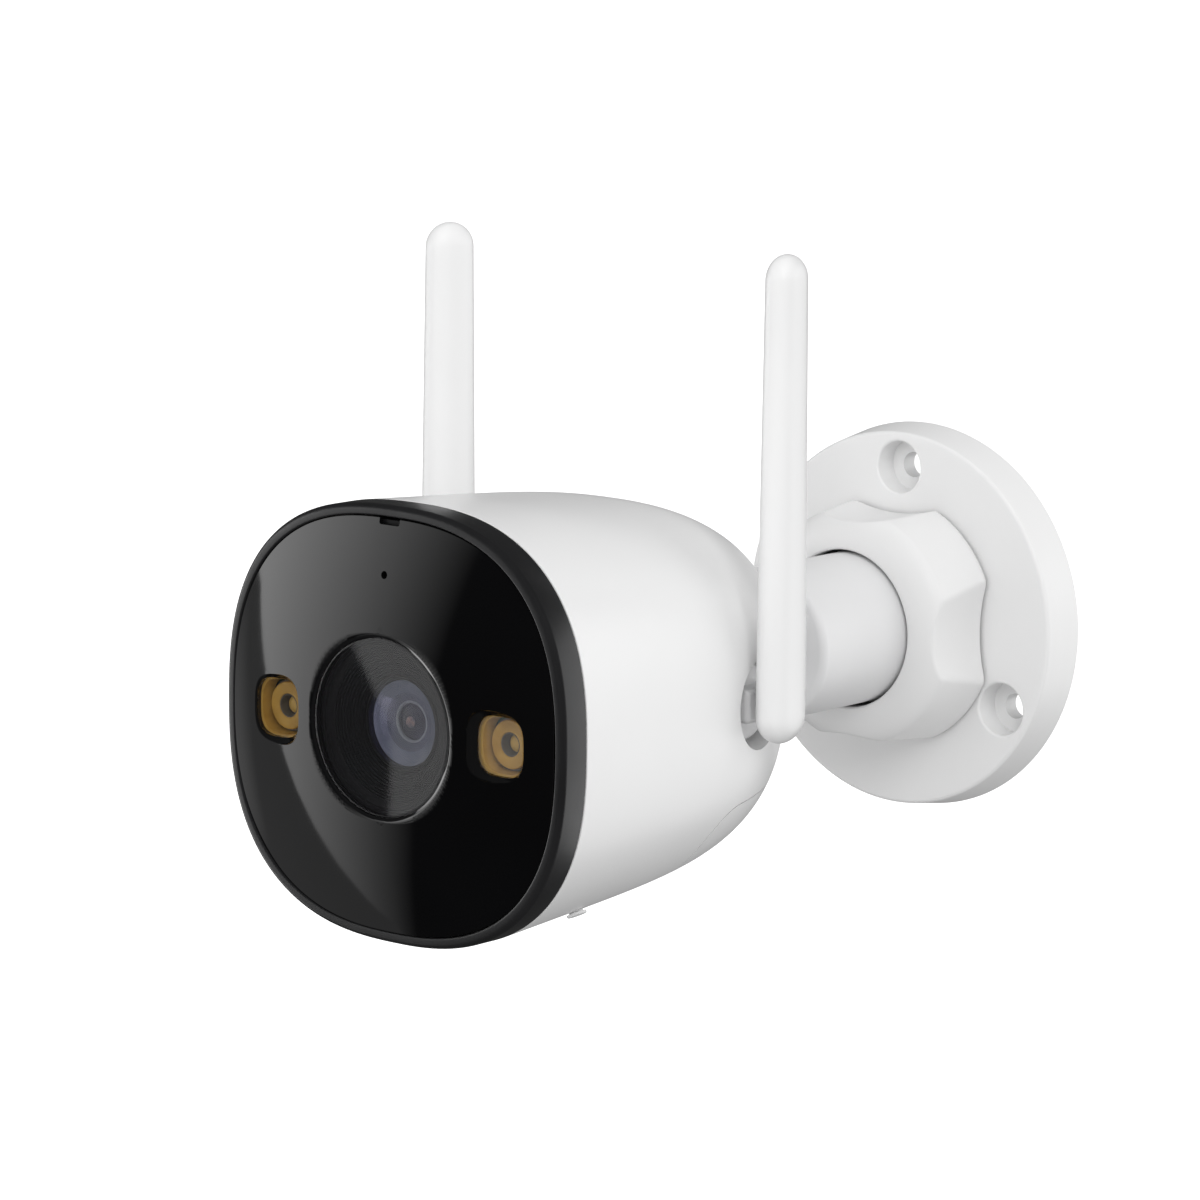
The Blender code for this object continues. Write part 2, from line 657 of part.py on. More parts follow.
def cut_board_guides(housing, head):
    """Grooved ribs on the roof and the rear wall that hold the main board's edges."""
    low = MAIN_BOARD_HEIGHT / 2 - GUIDE_DEPTH
    ends = (MAIN_BOARD_REAR + 1.0, MAIN_BOARD_REAR + 1.0 + GUIDE_LENGTH)
    outline = [(-low, -end) for end in ends]
    outline += [(-half_height_at(end) + 0.75 * WALL, -end) for end in reversed(ends)]
    place = head_point(MAIN_BOARD_SIDE, 0, 0)
    cut(housing, prism("roof_guide", outline, -GUIDE_WIDTH / 2, GUIDE_WIDTH / 2, None, head, place,
                       AXIS_SIDE), 'UNION')
    rear = HOUSING_REAR + REAR_WALL - 0.7
    length = MAIN_BOARD_REAR + GUIDE_DEPTH - rear
    for i, up in enumerate(GUIDE_UPS):
        cut(housing, block(f"rear_guide_{i}", (GUIDE_WIDTH, 4.4, length), None, head,
                           head_point(MAIN_BOARD_SIDE, up, rear + length / 2)), 'UNION')
    size = [side + 2 * GAP for side in (BOARD_THICK, MAIN_BOARD_HEIGHT, MAIN_BOARD_LENGTH)]
    cut(housing, block("guide_groove", size, None, head,
                       head_point(MAIN_BOARD_SIDE, 0, board_middle())))


def side_turn(side):
    """Rotation that points local z at the camera's left (-1) or right (+1) side."""
    return AXIS_SIDE if side > 0 else (0, -math.pi / 2, 0)


def side_name(side):
    return "right" if side > 0 else "left"


def on_circle(radius, degrees):
    return (radius * math.cos(math.radians(degrees)), radius * math.sin(math.radians(degrees)))


def vent_place():
    """A point on the lower right of the housing's skin."""
    power = 2 / OUTLINE_POWER
    share = 1 - TAPER * (HOUSING_FRONT - VENT_FORWARD)
    x = HOUSING_HALF_WIDTH * share * math.cos(math.radians(VENT_ANGLE)) ** power
    y = HOUSING_HALF_HEIGHT * share * math.sin(math.radians(VENT_ANGLE)) ** power
    return head_point(x, -y, VENT_FORWARD)


def vent_turn():
    """Rotation about Y that points local z straight out of the skin at the breather."""
    power = 2 - 2 / OUTLINE_POWER
    out = math.cos(math.radians(VENT_ANGLE)) ** power / HOUSING_HALF_WIDTH
    down = math.sin(math.radians(VENT_ANGLE)) ** power / HOUSING_HALF_HEIGHT
    return (0, math.atan2(out, -down), 0)


def gland_place():
    return head_point(GLAND_SIDE, -GLAND_DROP, 0)


def make_housing_fittings(head):
    profile = [(0, -WALL - 1.0), (VENT_RADIUS, -WALL - 1.0), (VENT_RADIUS, GAP),
               (VENT_HEAD, GAP), (VENT_HEAD, GAP + 0.2), (VENT_HEAD - 0.4, GAP + 0.5),
               (0, GAP + 0.5)]
    turned("vent_plug", profile, white_plastic(), head, vent_place(), vent_turn(), 16)
    flange = GLAND_SEAT - GAP
    profile = [(INLET_RADIUS, flange - 2.6), (GLAND_FLANGE - 0.8, flange - 2.6),
               (GLAND_FLANGE, flange - 1.8), (GLAND_FLANGE, flange), (GLAND_RADIUS, flange),
               (GLAND_RADIUS, flange + 7.0), (INLET_RADIUS, flange + 7.0)]
    turned("cable_gland", profile, rubber(), head, gland_place(), facets=20)


# ---- front -----------------------------------------------------------------------------------
def make_front_bezel(head):
    flange_rear = HOUSING_FRONT + GAP
    skirt_outer = WALL + GAP
    skirt_inner = skirt_outer + SKIRT_WALL
    profile = [
        (0.0, flange_rear), (0.0, BEZEL_EDGE), (0.25, BEZEL_EDGE + 0.9),
        (0.9, BEZEL_LIP - 0.3), (BEZEL_LIP_WIDTH - 0.3, BEZEL_LIP),
        (BEZEL_LIP_WIDTH, BEZEL_LIP - 0.3), (BEZEL_LIP_WIDTH, SEAT), (skirt_inner, SEAT),
        (skirt_inner, SKIRT_REAR), (skirt_outer, SKIRT_REAR), (skirt_outer, flange_rear),
    ]
    rings = [section(inset, forward) for inset, forward in profile]
    lofted("front_bezel", rings, black_plastic(), head, head_point(0, 0, 0), closed=True)


def led_outline(half):
    return rounded_square(half, half, LED_POWER, 24)


def led_front():
    """Front of the lamp windows: the face plate's surface there, less their recess."""
    return crown(LED_OFFSET, 0) - WINDOW_RECESS


def window_front():
    return PLATE_APEX - WINDOW_RECESS


def make_face_plate(head):
    edge = BEZEL_LIP_WIDTH + GAP
    half_width = HOUSING_HALF_WIDTH - edge
    half_height = HOUSING_HALF_HEIGHT - edge
    shares = (0.45, 0.75, 0.97, 1.0)
    front = []
    back = []
    for share in shares:
        outline = rounded_square(half_width * share, half_height * share)
        fall = 0.4 if share == 1.0 else 0.0
        front.append([(x, y, crown(x, y) - fall) for x, y in outline])
        back.append([(x, y, crown(x, y) - FACE_THICK) for x, y in outline])
    plate = lofted("face_plate", back + front[::-1], gloss_black(), head, head_point(0, 0, 0),
                   smooth=25.0)
    hole_back = PLATE_APEX - 6
    bevel_top = PLATE_APEX + 0.5
    profile = [(0, hole_back), (LENS_HOLE_RADIUS, hole_back),
               (LENS_HOLE_RADIUS, window_front()),
               (LENS_HOLE_RADIUS + LENS_BEVEL * 1.5, bevel_top), (0, bevel_top)]
    cut(plate, turned("lens_hole_cutter", profile, None, head, head_point(0, 0, 0)))
    for side in (-1, 1):
        surface = led_front() + WINDOW_RECESS
        levels = ((LED_HALF, surface - 5), (LED_HALF, surface - WINDOW_RECESS),
                  (LED_HALF + LED_BEVEL * 1.6, surface + 0.6))
        rings = [[(x, y, level) for x, y in led_outline(half)] for half, level in levels]
        cut(plate, lofted(f"led_hole_cutter_{side}", rings, None, head,
                          head_point(side * LED_OFFSET, 0, 0)))
    cut(plate, disc("mic_hole_cutter", MIC_HOLE_RADIUS, hole_back, PLATE_APEX + 1, None, head,
                    head_point(0, MIC_UP, 0), facets=12))
    cut(plate, block("notch_cutter", (NOTCH_WIDTH, 2 * NOTCH_HEIGHT, 12), None, head,
                     head_point(0, half_height, PLATE_APEX - 4)))
    block("light_sensor_window", (NOTCH_WIDTH - 2 * GAP, NOTCH_HEIGHT - GAP, 1.4),
          clear_plastic(), head,
          head_point(0, half_height - NOTCH_HEIGHT / 2, SEAT + GAP + 0.7))


def gloss_black():
    return material("gloss_black", (0.008, 0.008, 0.009), 0.06)


def amber_plastic():
    return material("amber_plastic", (0.75, 0.47, 0.15), 0.35)


def make_lens_group(head):
    centre = head_point(0, 0, 0)
    front = window_front()
    disc("lens_window", LENS_HOLE_RADIUS - GAP, front - WINDOW_THICK, front, clear_plastic(),
         head, centre, facets=FACETS)
    hood_top = front - WINDOW_THICK - GAP
    ledge = front - HOOD_FRONT_DEPTH
    outer = LENS_HOLE_RADIUS - GAP
    flange_top = crown(HOOD_FLANGE, 0) - FACE_THICK - GAP
    profile = [
        (BARREL_RADIUS + GAP, front - HOOD_LENGTH), (outer, front - HOOD_LENGTH),
        (outer, flange_top - 1.2), (HOOD_FLANGE, flange_top - 1.2),
        (HOOD_FLANGE, flange_top), (outer, flange_top), (outer, hood_top),
        (outer - 0.8, hood_top), (outer - 0.8, ledge), (HOOD_FRONT_RADIUS, ledge),
        (BARREL_RADIUS + GAP, front - HOOD_DEPTH),
    ]
    turned("lens_hood", profile, black_plastic(), head, centre)
    rim = front - HOOD_DEPTH + 0.2
    bore = LENS_RADIUS + GAP
    shoulder = rim - 6.0
    rear_bore = REAR_LENS_RADIUS + GAP
    profile = [(rear_bore, BARREL_REAR), (BARREL_RADIUS, BARREL_REAR), (BARREL_RADIUS, rim),
               (bore, rim), (bore, shoulder), (rear_bore, shoulder)]
    turned("lens_barrel", profile, black_plastic(), head, centre, facets=24)
    edge = rim - 0.3
    profile = [(0, shoulder + GAP), (LENS_RADIUS, shoulder + GAP), (LENS_RADIUS, edge)]
    for i in range(1, 5):
        share = i / 4
        profile.append((LENS_RADIUS * math.cos(share * math.pi / 2),
                        edge + LENS_CROWN * math.sin(share * math.pi / 2)))
    turned("front_lens", profile, clear_plastic(), head, centre, facets=SMALL_FACETS)
    middle = BARREL_REAR + 5.0
    profile = [(0, middle - 1.8), (REAR_LENS_RADIUS, middle - 1.0),
               (REAR_LENS_RADIUS, middle + 1.0), (0, middle + 1.8)]
    turned("rear_lens", profile, clear_plastic(), head, centre, facets=SMALL_FACETS)


def make_sensor_group(head, filter_axis):
    board = SENSOR_BOARD_FRONT
    sensor_board = block("sensor_board", (SENSOR_BOARD_SIDE, SENSOR_BOARD_SIDE, BOARD_THICK),
                         circuit_board(), head, head_point(0, 0, board - BOARD_THICK / 2))
    block("image_sensor", (SENSOR_SIDE, SENSOR_SIDE, SENSOR_THICK), gloss_black(), head,
          head_point(0, 0, board + GAP + SENSOR_THICK / 2))
    shift = FILTER_TRAVEL / 2
    low = board + GAP
    holder = block("lens_holder", (HOLDER_WIDTH, HOLDER_HEIGHT, HOLDER_DEPTH), black_plastic(),
                   head, head_point(shift, 0, low + HOLDER_DEPTH / 2))
    cavity_width = FILTER_SIDE + FILTER_TRAVEL + 3.0
    cavity_height = SENSOR_SIDE + 2.0
    cut(holder, block("cavity_cutter", (cavity_width, cavity_height, 2 * HOLDER_CAVITY), None,
                      head, head_point(shift, 0, low)))
    cut(holder, disc("thread_cutter", BARREL_RADIUS + GAP, BARREL_REAR - GAP,
                     low + HOLDER_DEPTH + 1, None, head, head_point(0, 0, 0), facets=32))
    cut(holder, disc("light_cutter", REAR_LENS_RADIUS, low, BARREL_REAR + 1, None, head,
                     head_point(0, 0, 0)))
    block("ir_cut_filter", (FILTER_SIDE, SENSOR_SIDE, FILTER_THICK),
          material("filter_glass", (0.4, 0.65, 0.7), 0.08, alpha=0.5), filter_axis,
          head_point(0, 0, low + HOLDER_CAVITY - GAP - 0.6 - FILTER_THICK / 2))
    for i, (x, y) in enumerate(post_places()):
        cut(sensor_board, disc(f"board_hole_{i}", SCREW_RADIUS + GAP, board - BOARD_THICK - 1,
                               board + 1, None, head, head_point(x, y, 0), facets=12))
        make_screw(f"board_screw_{i + 1}", head, head_point(x, y, board - BOARD_THICK - GAP),
                   (-math.pi / 2, 0, 0))


def post_places():
    return ((-POST_PLACE, POST_PLACE), (POST_PLACE, -POST_PLACE))


def make_screw(name, parent, place, turn):
    """A pan-head screw whose head sits on its place and whose shank runs along minus local z."""
    profile = [(0, -SCREW_LENGTH), (SCREW_RADIUS, -SCREW_LENGTH + 0.8), (SCREW_RADIUS, 0),
               (SCREW_HEAD_RADIUS, 0), (SCREW_HEAD_RADIUS, SCREW_HEAD_THICK * 0.6),
               (SCREW_HEAD_RADIUS - 0.7, SCREW_HEAD_THICK), (0, SCREW_HEAD_THICK)]
    turned(name, profile, steel(), parent, place, turn, 10)


def make_inner_frame(head):
    inset = WALL + GAP + SKIRT_WALL + GAP
    back = FRAME_FRONT - FRAME_THICK
    outline = [(x, y) for x, y, level in section(inset, back)]
    frame = prism("inner_frame", outline, back, FRAME_FRONT, black_plastic(), head,
                  head_point(0, 0, 0))
    cut(frame, disc("barrel_cutter", BARREL_RADIUS + 1.0, back - 1, FRAME_FRONT + 1, None, head,
                    head_point(0, 0, 0), facets=32))
    board = SENSOR_BOARD_FRONT + GAP
    for i, (x, y) in enumerate(post_places()):
        cut(frame, disc(f"post_shape_{i}", POST_RADIUS, board, back + 1, None, head,
                        head_point(x, y, 0), facets=16), 'UNION')
        cut(frame, disc(f"post_pilot_{i}", SCREW_RADIUS + GAP, board - 1, board + 6, None, head,
                        head_point(x, y, 0), facets=12))
    for i, angle in enumerate(FRAME_SCREW_ANGLES):
        x, y = on_circle(FRAME_SCREW_CIRCLE, angle)
        cut(frame, disc(f"frame_hole_{i}", SCREW_RADIUS + GAP, back - 1, FRAME_FRONT + 1, None,
                        head, head_point(x, y, 0), facets=12))
        make_screw(f"frame_screw_{i + 1}", head, head_point(x, y, FRAME_FRONT + GAP),
                   AXIS_FORWARD)


def make_lamp(head, side):
    name = side_name(side)
    place = head_point(side * LED_OFFSET, 0, 0)
    front = led_front()
    prism(f"led_window_{name}", led_outline(LED_HALF - GAP), front - WINDOW_THICK, front,
          clear_plastic(), head, place)
    disc_front = front - LED_DISC_DEPTH
    low = disc_front - LED_DISC_THICK
    well = disc_front - LED_WELL_DEPTH
    profile = [(0, low), (LED_DISC_RADIUS, low), (LED_DISC_RADIUS, disc_front),
               (LED_WELL_RADIUS, disc_front), (LED_WELL_RADIUS, well), (0, well)]
    turned(f"led_reflector_{name}", profile, amber_plastic(), head, place,
           facets=SMALL_FACETS)
    block(f"led_board_{name}", (11.0, 11.0, 1.2), circuit_board(), head,
          head_point(side * LED_OFFSET, 0, low - GAP - 0.6))


def make_microphone(head):
    low = FRAME_FRONT + GAP
    top = crown(0, MIC_UP) - FACE_THICK - GAP
    outer = 3.0
    bore = 2.3
    floor = low + 2.5
    profile = [(0, low), (outer, low), (outer, top), (bore, top), (bore, floor), (0, floor)]
    turned("microphone_boot", profile, rubber(), head, head_point(0, MIC_UP - 4.2, 0), facets=16)
    disc("microphone", bore - GAP, floor + GAP, floor + GAP + 2.2, steel(), head,
         head_point(0, MIC_UP - 4.2, 0), facets=16)


# ---- electronics at the rear -----------------------------------------------------------------
def make_main_board(head):
    middle = board_middle()
    block("main_board", (BOARD_THICK, MAIN_BOARD_HEIGHT, MAIN_BOARD_LENGTH), circuit_board(),
          head, head_point(MAIN_BOARD_SIDE, 0, middle))
    face = MAIN_BOARD_SIDE + BOARD_THICK / 2 + GAP
    block("shield_can", (2.4, 14.0, 18.0), steel(), head,
          head_point(face + 1.2, 6.5, middle - 3), chamfer=0.4)
    back = MAIN_BOARD_SIDE - BOARD_THICK / 2 - GAP
    sink = block("heat_sink", (6.0, 20.0, 20.0), material("aluminium", (0.75, 0.76, 0.78), 0.4, 1.0),
                 head, head_point(back - 3.0, 0, middle))
    for i in range(4):
        up = 4.8 * (i - 1.5)
        cut(sink, block(f"fin_cutter_{i}", (8.0, 2.4, 24.0), None, head,
                        head_point(back - 6.0, up, middle)))
    ends = (MAIN_BOARD_REAR + MAIN_BOARD_LENGTH - CABLE_LAP,
            SENSOR_BOARD_FRONT - BOARD_THICK - GAP)
    block("sensor_cable", (0.4, 12.0, ends[1] - ends[0]),
          material("cable_white", (0.8, 0.8, 0.78), 0.5), head,
          head_point(face + 0.2, -4.0, (ends[0] + ends[1]) / 2))


def card_side():
    return MAIN_BOARD_SIDE + BOARD_THICK / 2 + GAP + SOCKET_THICK / 2


def make_card_and_button(head, card_axis, button_axis):
    bottom = -MAIN_BOARD_HEIGHT / 2 - 2.5
    side = card_side()
    socket = block("card_socket", (SOCKET_THICK, SOCKET_HEIGHT, CARD_WIDTH + 2.0), steel(), head,
                   head_point(side, bottom + SOCKET_HEIGHT / 2, CARD_FORWARD))
    cut(socket, block("card_slot_cutter", (CARD_THICK + 2 * GAP, 2 * SOCKET_HEIGHT - 2.0,
                                           CARD_WIDTH + 2 * GAP), None, head,
                      head_point(side, bottom, CARD_FORWARD)))
    card_low = bottom + SOCKET_HEIGHT - 1.0 - GAP - CARD_LENGTH
    block("memory_card", (CARD_THICK, CARD_LENGTH, CARD_WIDTH), gloss_black(), card_axis,
          head_point(side, card_low + CARD_LENGTH / 2, CARD_FORWARD))
    switch_low = -MAIN_BOARD_HEIGHT / 2
    block("reset_switch", (3.6, 4.0, 5.0), black_plastic(), head,
          head_point(button_side(), switch_low + 2.0, BUTTON_FORWARD))
    top = switch_low - GAP - BUTTON_TRAVEL
    end = half_height_at(BUTTON_FORWARD) - WALL - BUTTON_END_GAP
    disc("reset_button", BUTTON_RADIUS, -top, end, rubber(), button_axis,
         head_point(button_side(), 0, BUTTON_FORWARD), AXIS_DOWN, facets=16)


def button_side():
    return MAIN_BOARD_SIDE + BOARD_THICK / 2 + GAP + 1.8


def make_speaker(head):
    low = half_height_at(SPEAKER_FORWARD) - WALL - 1.2
    profile = [(0, low - SPEAKER_THICK), (SPEAKER_RADIUS * 0.6, low - SPEAKER_THICK),
               (SPEAKER_RADIUS * 0.6, low - 2.0), (SPEAKER_RADIUS, low - 1.2),
               (SPEAKER_RADIUS, low), (SPEAKER_RADIUS - 1.2, low), (3.0, low - 1.0),
               (0, low - 0.6)]
    turned("speaker", profile, black_plastic(), head, head_point(0, 0, SPEAKER_FORWARD),
           AXIS_DOWN, SMALL_FACETS)


# ---- service cover ---------------------------------------------------------------------------
def make_service_cover(head, cover_axis):
    rings = shell_rings(0.0, 0.0, HOUSING_REAR, COVER_THICK, HOUSING_REAR + COVER_THICK,
                        HOUSING_FRONT)
    cover = lofted("service_cover", rings, white_plastic(), cover_axis, head_point(0, 0, 0))
    cut(cover, service_prism("cover_keeper", -GAP, head), 'INTERSECT')
    outer = WALL + GAP
    rings = shell_rings(outer, outer, HOUSING_REAR + REAR_WALL + GAP, TRAY_THICK,
                        HOUSING_REAR + REAR_WALL + GAP + TRAY_THICK, HOUSING_FRONT - 12)
    tray = lofted("service_tray", rings, black_plastic(), head, head_point(0, 0, 0))
    cut(tray, service_prism("tray_keeper", TRAY_LAP, head), 'INTERSECT')
    cut(tray, block("card_opening", (CARD_THICK + 4.0, 40.0, CARD_WIDTH + 4.0), None, head,
                    head_point(card_side(), -HOUSING_HALF_HEIGHT, CARD_FORWARD)))
    cut(tray, disc("button_opening", BUTTON_RADIUS + GAP, 10, HOUSING_HALF_HEIGHT + 4, None,
                   head, head_point(button_side(), 0, BUTTON_FORWARD), AXIS_DOWN, facets=16))
    seat = half_height_at(COVER_SCREW_FORWARD) - SCREW_HEAD_THICK - 0.2
    place = head_point(0, -seat, COVER_SCREW_FORWARD)
    cup_floor = -GAP - COVER_CUP_FLOOR
    shank = SCREW_RADIUS + GAP
    cut(cover, disc("cup_shape", COVER_CUP_RADIUS, cup_floor, 0.9, None, head, place,
                    AXIS_DOWN), 'UNION')
    cut(cover, disc("cup_cutter", SCREW_HEAD_RADIUS + GAP, -GAP, 10, None, head, place,
                    AXIS_DOWN, facets=16))
    cut(cover, disc("cup_hole_cutter", shank, -6, 1, None, head, place, AXIS_DOWN, facets=12))
    boss_top = cup_floor + 0.1
    cut(tray, disc("tray_boss", TRAY_BOSS_RADIUS, boss_top - TRAY_BOSS_LENGTH, boss_top, None,
                   head, place, AXIS_DOWN), 'UNION')
    cut(tray, disc("tray_recess_cutter", COVER_CUP_RADIUS + GAP, cup_floor - GAP, 6, None, head,
                   place, AXIS_DOWN))
    cut(tray, disc("tray_hole_cutter", shank, -9, 6, None, head, place, AXIS_DOWN, facets=12))
    make_screw("cover_screw", cover_axis, place, AXIS_DOWN)


# ---- antennas --------------------------------------------------------------------------------
def make_hub(head, swing, side):
    name = side_name(side)
    place = head_point(0, 0, POCKET_FORWARD)
    low = POCKET_FLOOR + GAP
    shaft_end = POCKET_FLOOR - POCKET_WALL - GAP - 2.2
    profile = [(0, shaft_end), (HUB_SHAFT_RADIUS, shaft_end), (HUB_SHAFT_RADIUS, low),
               (HUB_RADIUS, low), (HUB_RADIUS, low + HUB_THICK), (0, low + HUB_THICK)]
    hub = turned(f"antenna_hub_{name}", profile, white_plastic(), swing, place, side_turn(side),
                 SMALL_FACETS)
    reach = ANTENNA_SIDE - ANTENNA_DEPTH - GAP - 0.7
    start = low + HUB_THICK - 0.5
    lug = block(f"lug_shape_{name}", (reach - start, LUG_HEIGHT, LUG_WIDTH), None, swing,
                (side * (start + reach) / 2, place[1], POCKET_FORWARD), chamfer=0.8)
    cut(hub, lug, 'UNION')
    keeper_high = POCKET_FLOOR - POCKET_WALL - GAP
    disc(f"hub_clip_{name}", HUB_SHAFT_RADIUS + 1.6, keeper_high - 1.4, keeper_high, steel(),
         swing, place, side_turn(side), bore=HUB_SHAFT_RADIUS + GAP, facets=16)


def antenna_share(up):
    """Size of the rod's section at a height, with rounded ends."""
    share = 1 - ANTENNA_NARROWING * up / ANTENNA_TOP
    top_left = ANTENNA_TOP - up
    bottom_left = up + ANTENNA_BOTTOM
    for left, radius in ((top_left, 4.2), (bottom_left, 4.8)):
        if left < radius:
            share *= math.sqrt(max(1 - (1 - left / radius) ** 2, 0.0))
    return share


def antenna_levels():
    """Heights of the rod's sections, close together in its rounded ends."""
    ends = (0.06, 0.5, 1.6, 4.2)
    low = [-ANTENNA_BOTTOM + step for step in ends]
    high = [ANTENNA_TOP - step for step in reversed(ends)]
    return low + [ANTENNA_TOP * 0.3, ANTENNA_TOP * 0.65] + high


def make_antenna(swing, side):
    cant = math.radians(ANTENNA_CANT)
    rings = []
    for up in antenna_levels():
        share = antenna_share(up)
        ring = []
        half_sizes = (ANTENNA_BREADTH * share, ANTENNA_DEPTH * share)
        for broad, deep in rounded_square(*half_sizes, ANTENNA_POWER, ANTENNA_FACETS):
            x = side * (deep * math.cos(cant) - broad * math.sin(cant))
            y = broad * math.cos(cant) + deep * math.sin(cant)
            ring.append((x, y, up))
        rings.append(ring)
    lofted(f"antenna_{side_name(side)}", rings, white_plastic(), swing,
           (side * ANTENNA_SIDE, 0, ANTENNA_FORWARD), (0, 0, 0))


def make_coax(head, side):
    """Thin aerial lead from a hub's inner end to the main board."""
    start = Vector((side * (POCKET_FLOOR - POCKET_WALL - 5.0), 0, POCKET_FORWARD))
    board_face = MAIN_BOARD_SIDE + side * (BOARD_THICK / 2 + GAP + LEAD_RADIUS)
    end = Vector((board_face, 15.0, MAIN_BOARD_REAR + 27.0))
    bend = Vector((side * 12.0, 16.0, POCKET_FORWARD + 6.0))
    rings = []
    for i in range(LEAD_STEPS + 1):
        t = i / LEAD_STEPS
        point = start * (1 - t) ** 2 + bend * (2 * t * (1 - t)) + end * t ** 2
        along = ((bend - start) * (1 - t) + (end - bend) * t).normalized()
        beside = along.cross(Vector((0, 0, 1))).normalized()
        above = beside.cross(along)
        ring = []
        for k in range(8):
            angle = 2 * math.pi * k / 8
            ring.append(point + LEAD_RADIUS * (beside * math.cos(angle) + above * math.sin(angle)))
        rings.append(ring)
    lofted(f"antenna_lead_{side_name(side)}", rings, black_plastic(), head, head_point(0, 0, 0))


def main():
    clear_scene()
    make_wall_plate()
    nut_axis = pivot("nut_axis", 0, 0, 0)
    make_lock_nut(nut_axis)
    clamp_axis = pivot("clamp_axis", 0, 0, 0)
    make_clamp_ring(clamp_axis)
    arm_axis = pivot("arm_axis", 0, 0, 0)
    make_arm(arm_axis)
    make_elbow_pin(arm_axis)
    elbow_axis = pivot("elbow_axis", 0, 0, ELBOW_FORWARD, arm_axis)
    make_elbow_knuckle(elbow_axis)
    make_stem_retainer(elbow_axis)
    head = pivot("head_axis", 0, 0, HOUSING_REAR, elbow_axis)
    make_housing(head)
    make_housing_fittings(head)
    make_front_bezel(head)
    make_face_plate(head)
    make_lens_group(head)
    filter_axis = pivot("filter_axis", 0, -HEAD_DROP, SENSOR_BOARD_FRONT, head)
    make_sensor_group(head, filter_axis)
    make_inner_frame(head)
    make_microphone(head)
    make_main_board(head)
    card_axis = pivot("card_axis", card_side(), -HEAD_DROP, CARD_FORWARD, head)
    button_axis = pivot("button_axis", button_side(), -HEAD_DROP, BUTTON_FORWARD, head)
    make_card_and_button(head, card_axis, button_axis)
    make_speaker(head)
    cover_axis = pivot("cover_axis", 0, -HEAD_DROP, COVER_SCREW_FORWARD, head)
    make_service_cover(head, cover_axis)
    for side in (-1, 1):
        make_lamp(head, side)
        swing = pivot(f"antenna_axis_{side_name(side)}", side * POCKET_FLOOR, -HEAD_DROP,
                      POCKET_FORWARD, head)
        make_hub(head, swing, side)
        make_antenna(swing, side)
        make_coax(head, side)


main()
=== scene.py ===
"""Looks for the wall-mounted bullet security camera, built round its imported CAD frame.

Lengths are in millimetres until MM turns them into metres.  Pieces are drawn in a "forward" frame
(local x beside, local y up, local z in front of the wall) unless they say otherwise.
"""
import math

import bmesh
import bpy
from mathutils import Matrix, Vector


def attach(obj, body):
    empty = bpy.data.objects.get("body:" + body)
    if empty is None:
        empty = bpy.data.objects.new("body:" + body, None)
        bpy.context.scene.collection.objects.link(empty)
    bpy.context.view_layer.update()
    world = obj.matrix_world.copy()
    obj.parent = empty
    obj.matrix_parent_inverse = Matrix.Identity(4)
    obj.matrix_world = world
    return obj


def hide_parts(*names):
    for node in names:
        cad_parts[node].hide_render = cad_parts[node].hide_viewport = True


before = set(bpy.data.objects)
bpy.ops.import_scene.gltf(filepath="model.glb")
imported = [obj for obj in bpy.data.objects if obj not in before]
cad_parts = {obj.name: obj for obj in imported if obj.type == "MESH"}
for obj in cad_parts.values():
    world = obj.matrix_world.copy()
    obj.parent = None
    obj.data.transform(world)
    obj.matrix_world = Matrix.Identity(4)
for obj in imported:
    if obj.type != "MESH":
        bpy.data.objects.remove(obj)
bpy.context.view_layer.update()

MM = 0.001
FINE = 192                 # points round a section of the housing
ROUND = 128                # sides of the large turned pieces

# ---- sizes shared with the CAD model ----------------------------------------------------------
GAP = 0.3
PLATE_RADIUS, PLATE_THICK, PLATE_DRAFT = 35.0, 7.8, 1.3
HOLE_CIRCLE, HOLE_RADIUS = 27.5, 2.3
COUNTERBORE_RADIUS, COUNTERBORE_DEPTH = 4.7, 4.6
SPIGOT_RADIUS, SPIGOT_END = 17.6, 15.0
ARM_RADIUS, ARM_FRONT, ARM_WALL = 13.6, 46.0, 3.0
FLANGE_RADIUS, FLANGE_THICK = 17.2, 2.5
NUT_RADIUS, NUT_TAPER, NUT_START, NUT_FRONT = 22.7, 1.4, 8.4, 23.3
SCALLOP_RADIUS, SCALLOP_PLACE = 30.0, 49.3
ELBOW_FORWARD, EAR_RADIUS, EAR_INNER, EAR_OUTER = 54.0, 6.6, 5.4, 9.6
KNUCKLE_RADIUS, COLLAR_RADIUS, STEM_RADIUS = 6.4, 8.0, 5.0
HEAD_DROP = 0.9
HOUSING_REAR, HOUSING_FRONT = 62.5, 136.5
HALF_WIDTH, HALF_HEIGHT, POWER = 37.1, 36.1, 2.52
TAPER, END_LENGTH, END_POWER = 0.0019, 76.0, 6.0
WALL, REAR_WALL = 2.2, 3.0
PLATE_APEX, PLATE_CURVE, FACE_THICK = 145.5, 200.0, 1.7
LIP_WIDTH, LIP, SEAT = 1.9, 142.4, 140.2
LENS_HOLE, RECESS, WINDOW_THICK = 14.8, 0.9, 1.0
LED_OFFSET, LED_HALF, LED_POWER = 24.4, 4.9, 3.2
MIC_UP, MIC_HOLE = 25.0, 0.65
NOTCH_WIDTH, NOTCH_HEIGHT = 5.2, 1.6
POCKET_FORWARD, POCKET_RADIUS, POCKET_FLOOR, POCKET_WALL = 86.0, 7.7, 26.0, 1.8
COVER_FRONT, COVER_TOP, COVER_CORNER, COVER_THICK = 97.0, 17.5, 9.0, 1.8
COVER_SCREW_FORWARD = 90.0
SPEAKER_FORWARD, SLOTS, SLOT_PITCH, SLOT_WIDTH = 113.0, 5, 2.4, 1.1
VENT_FORWARD, VENT_ANGLE = 120.0, 60.0
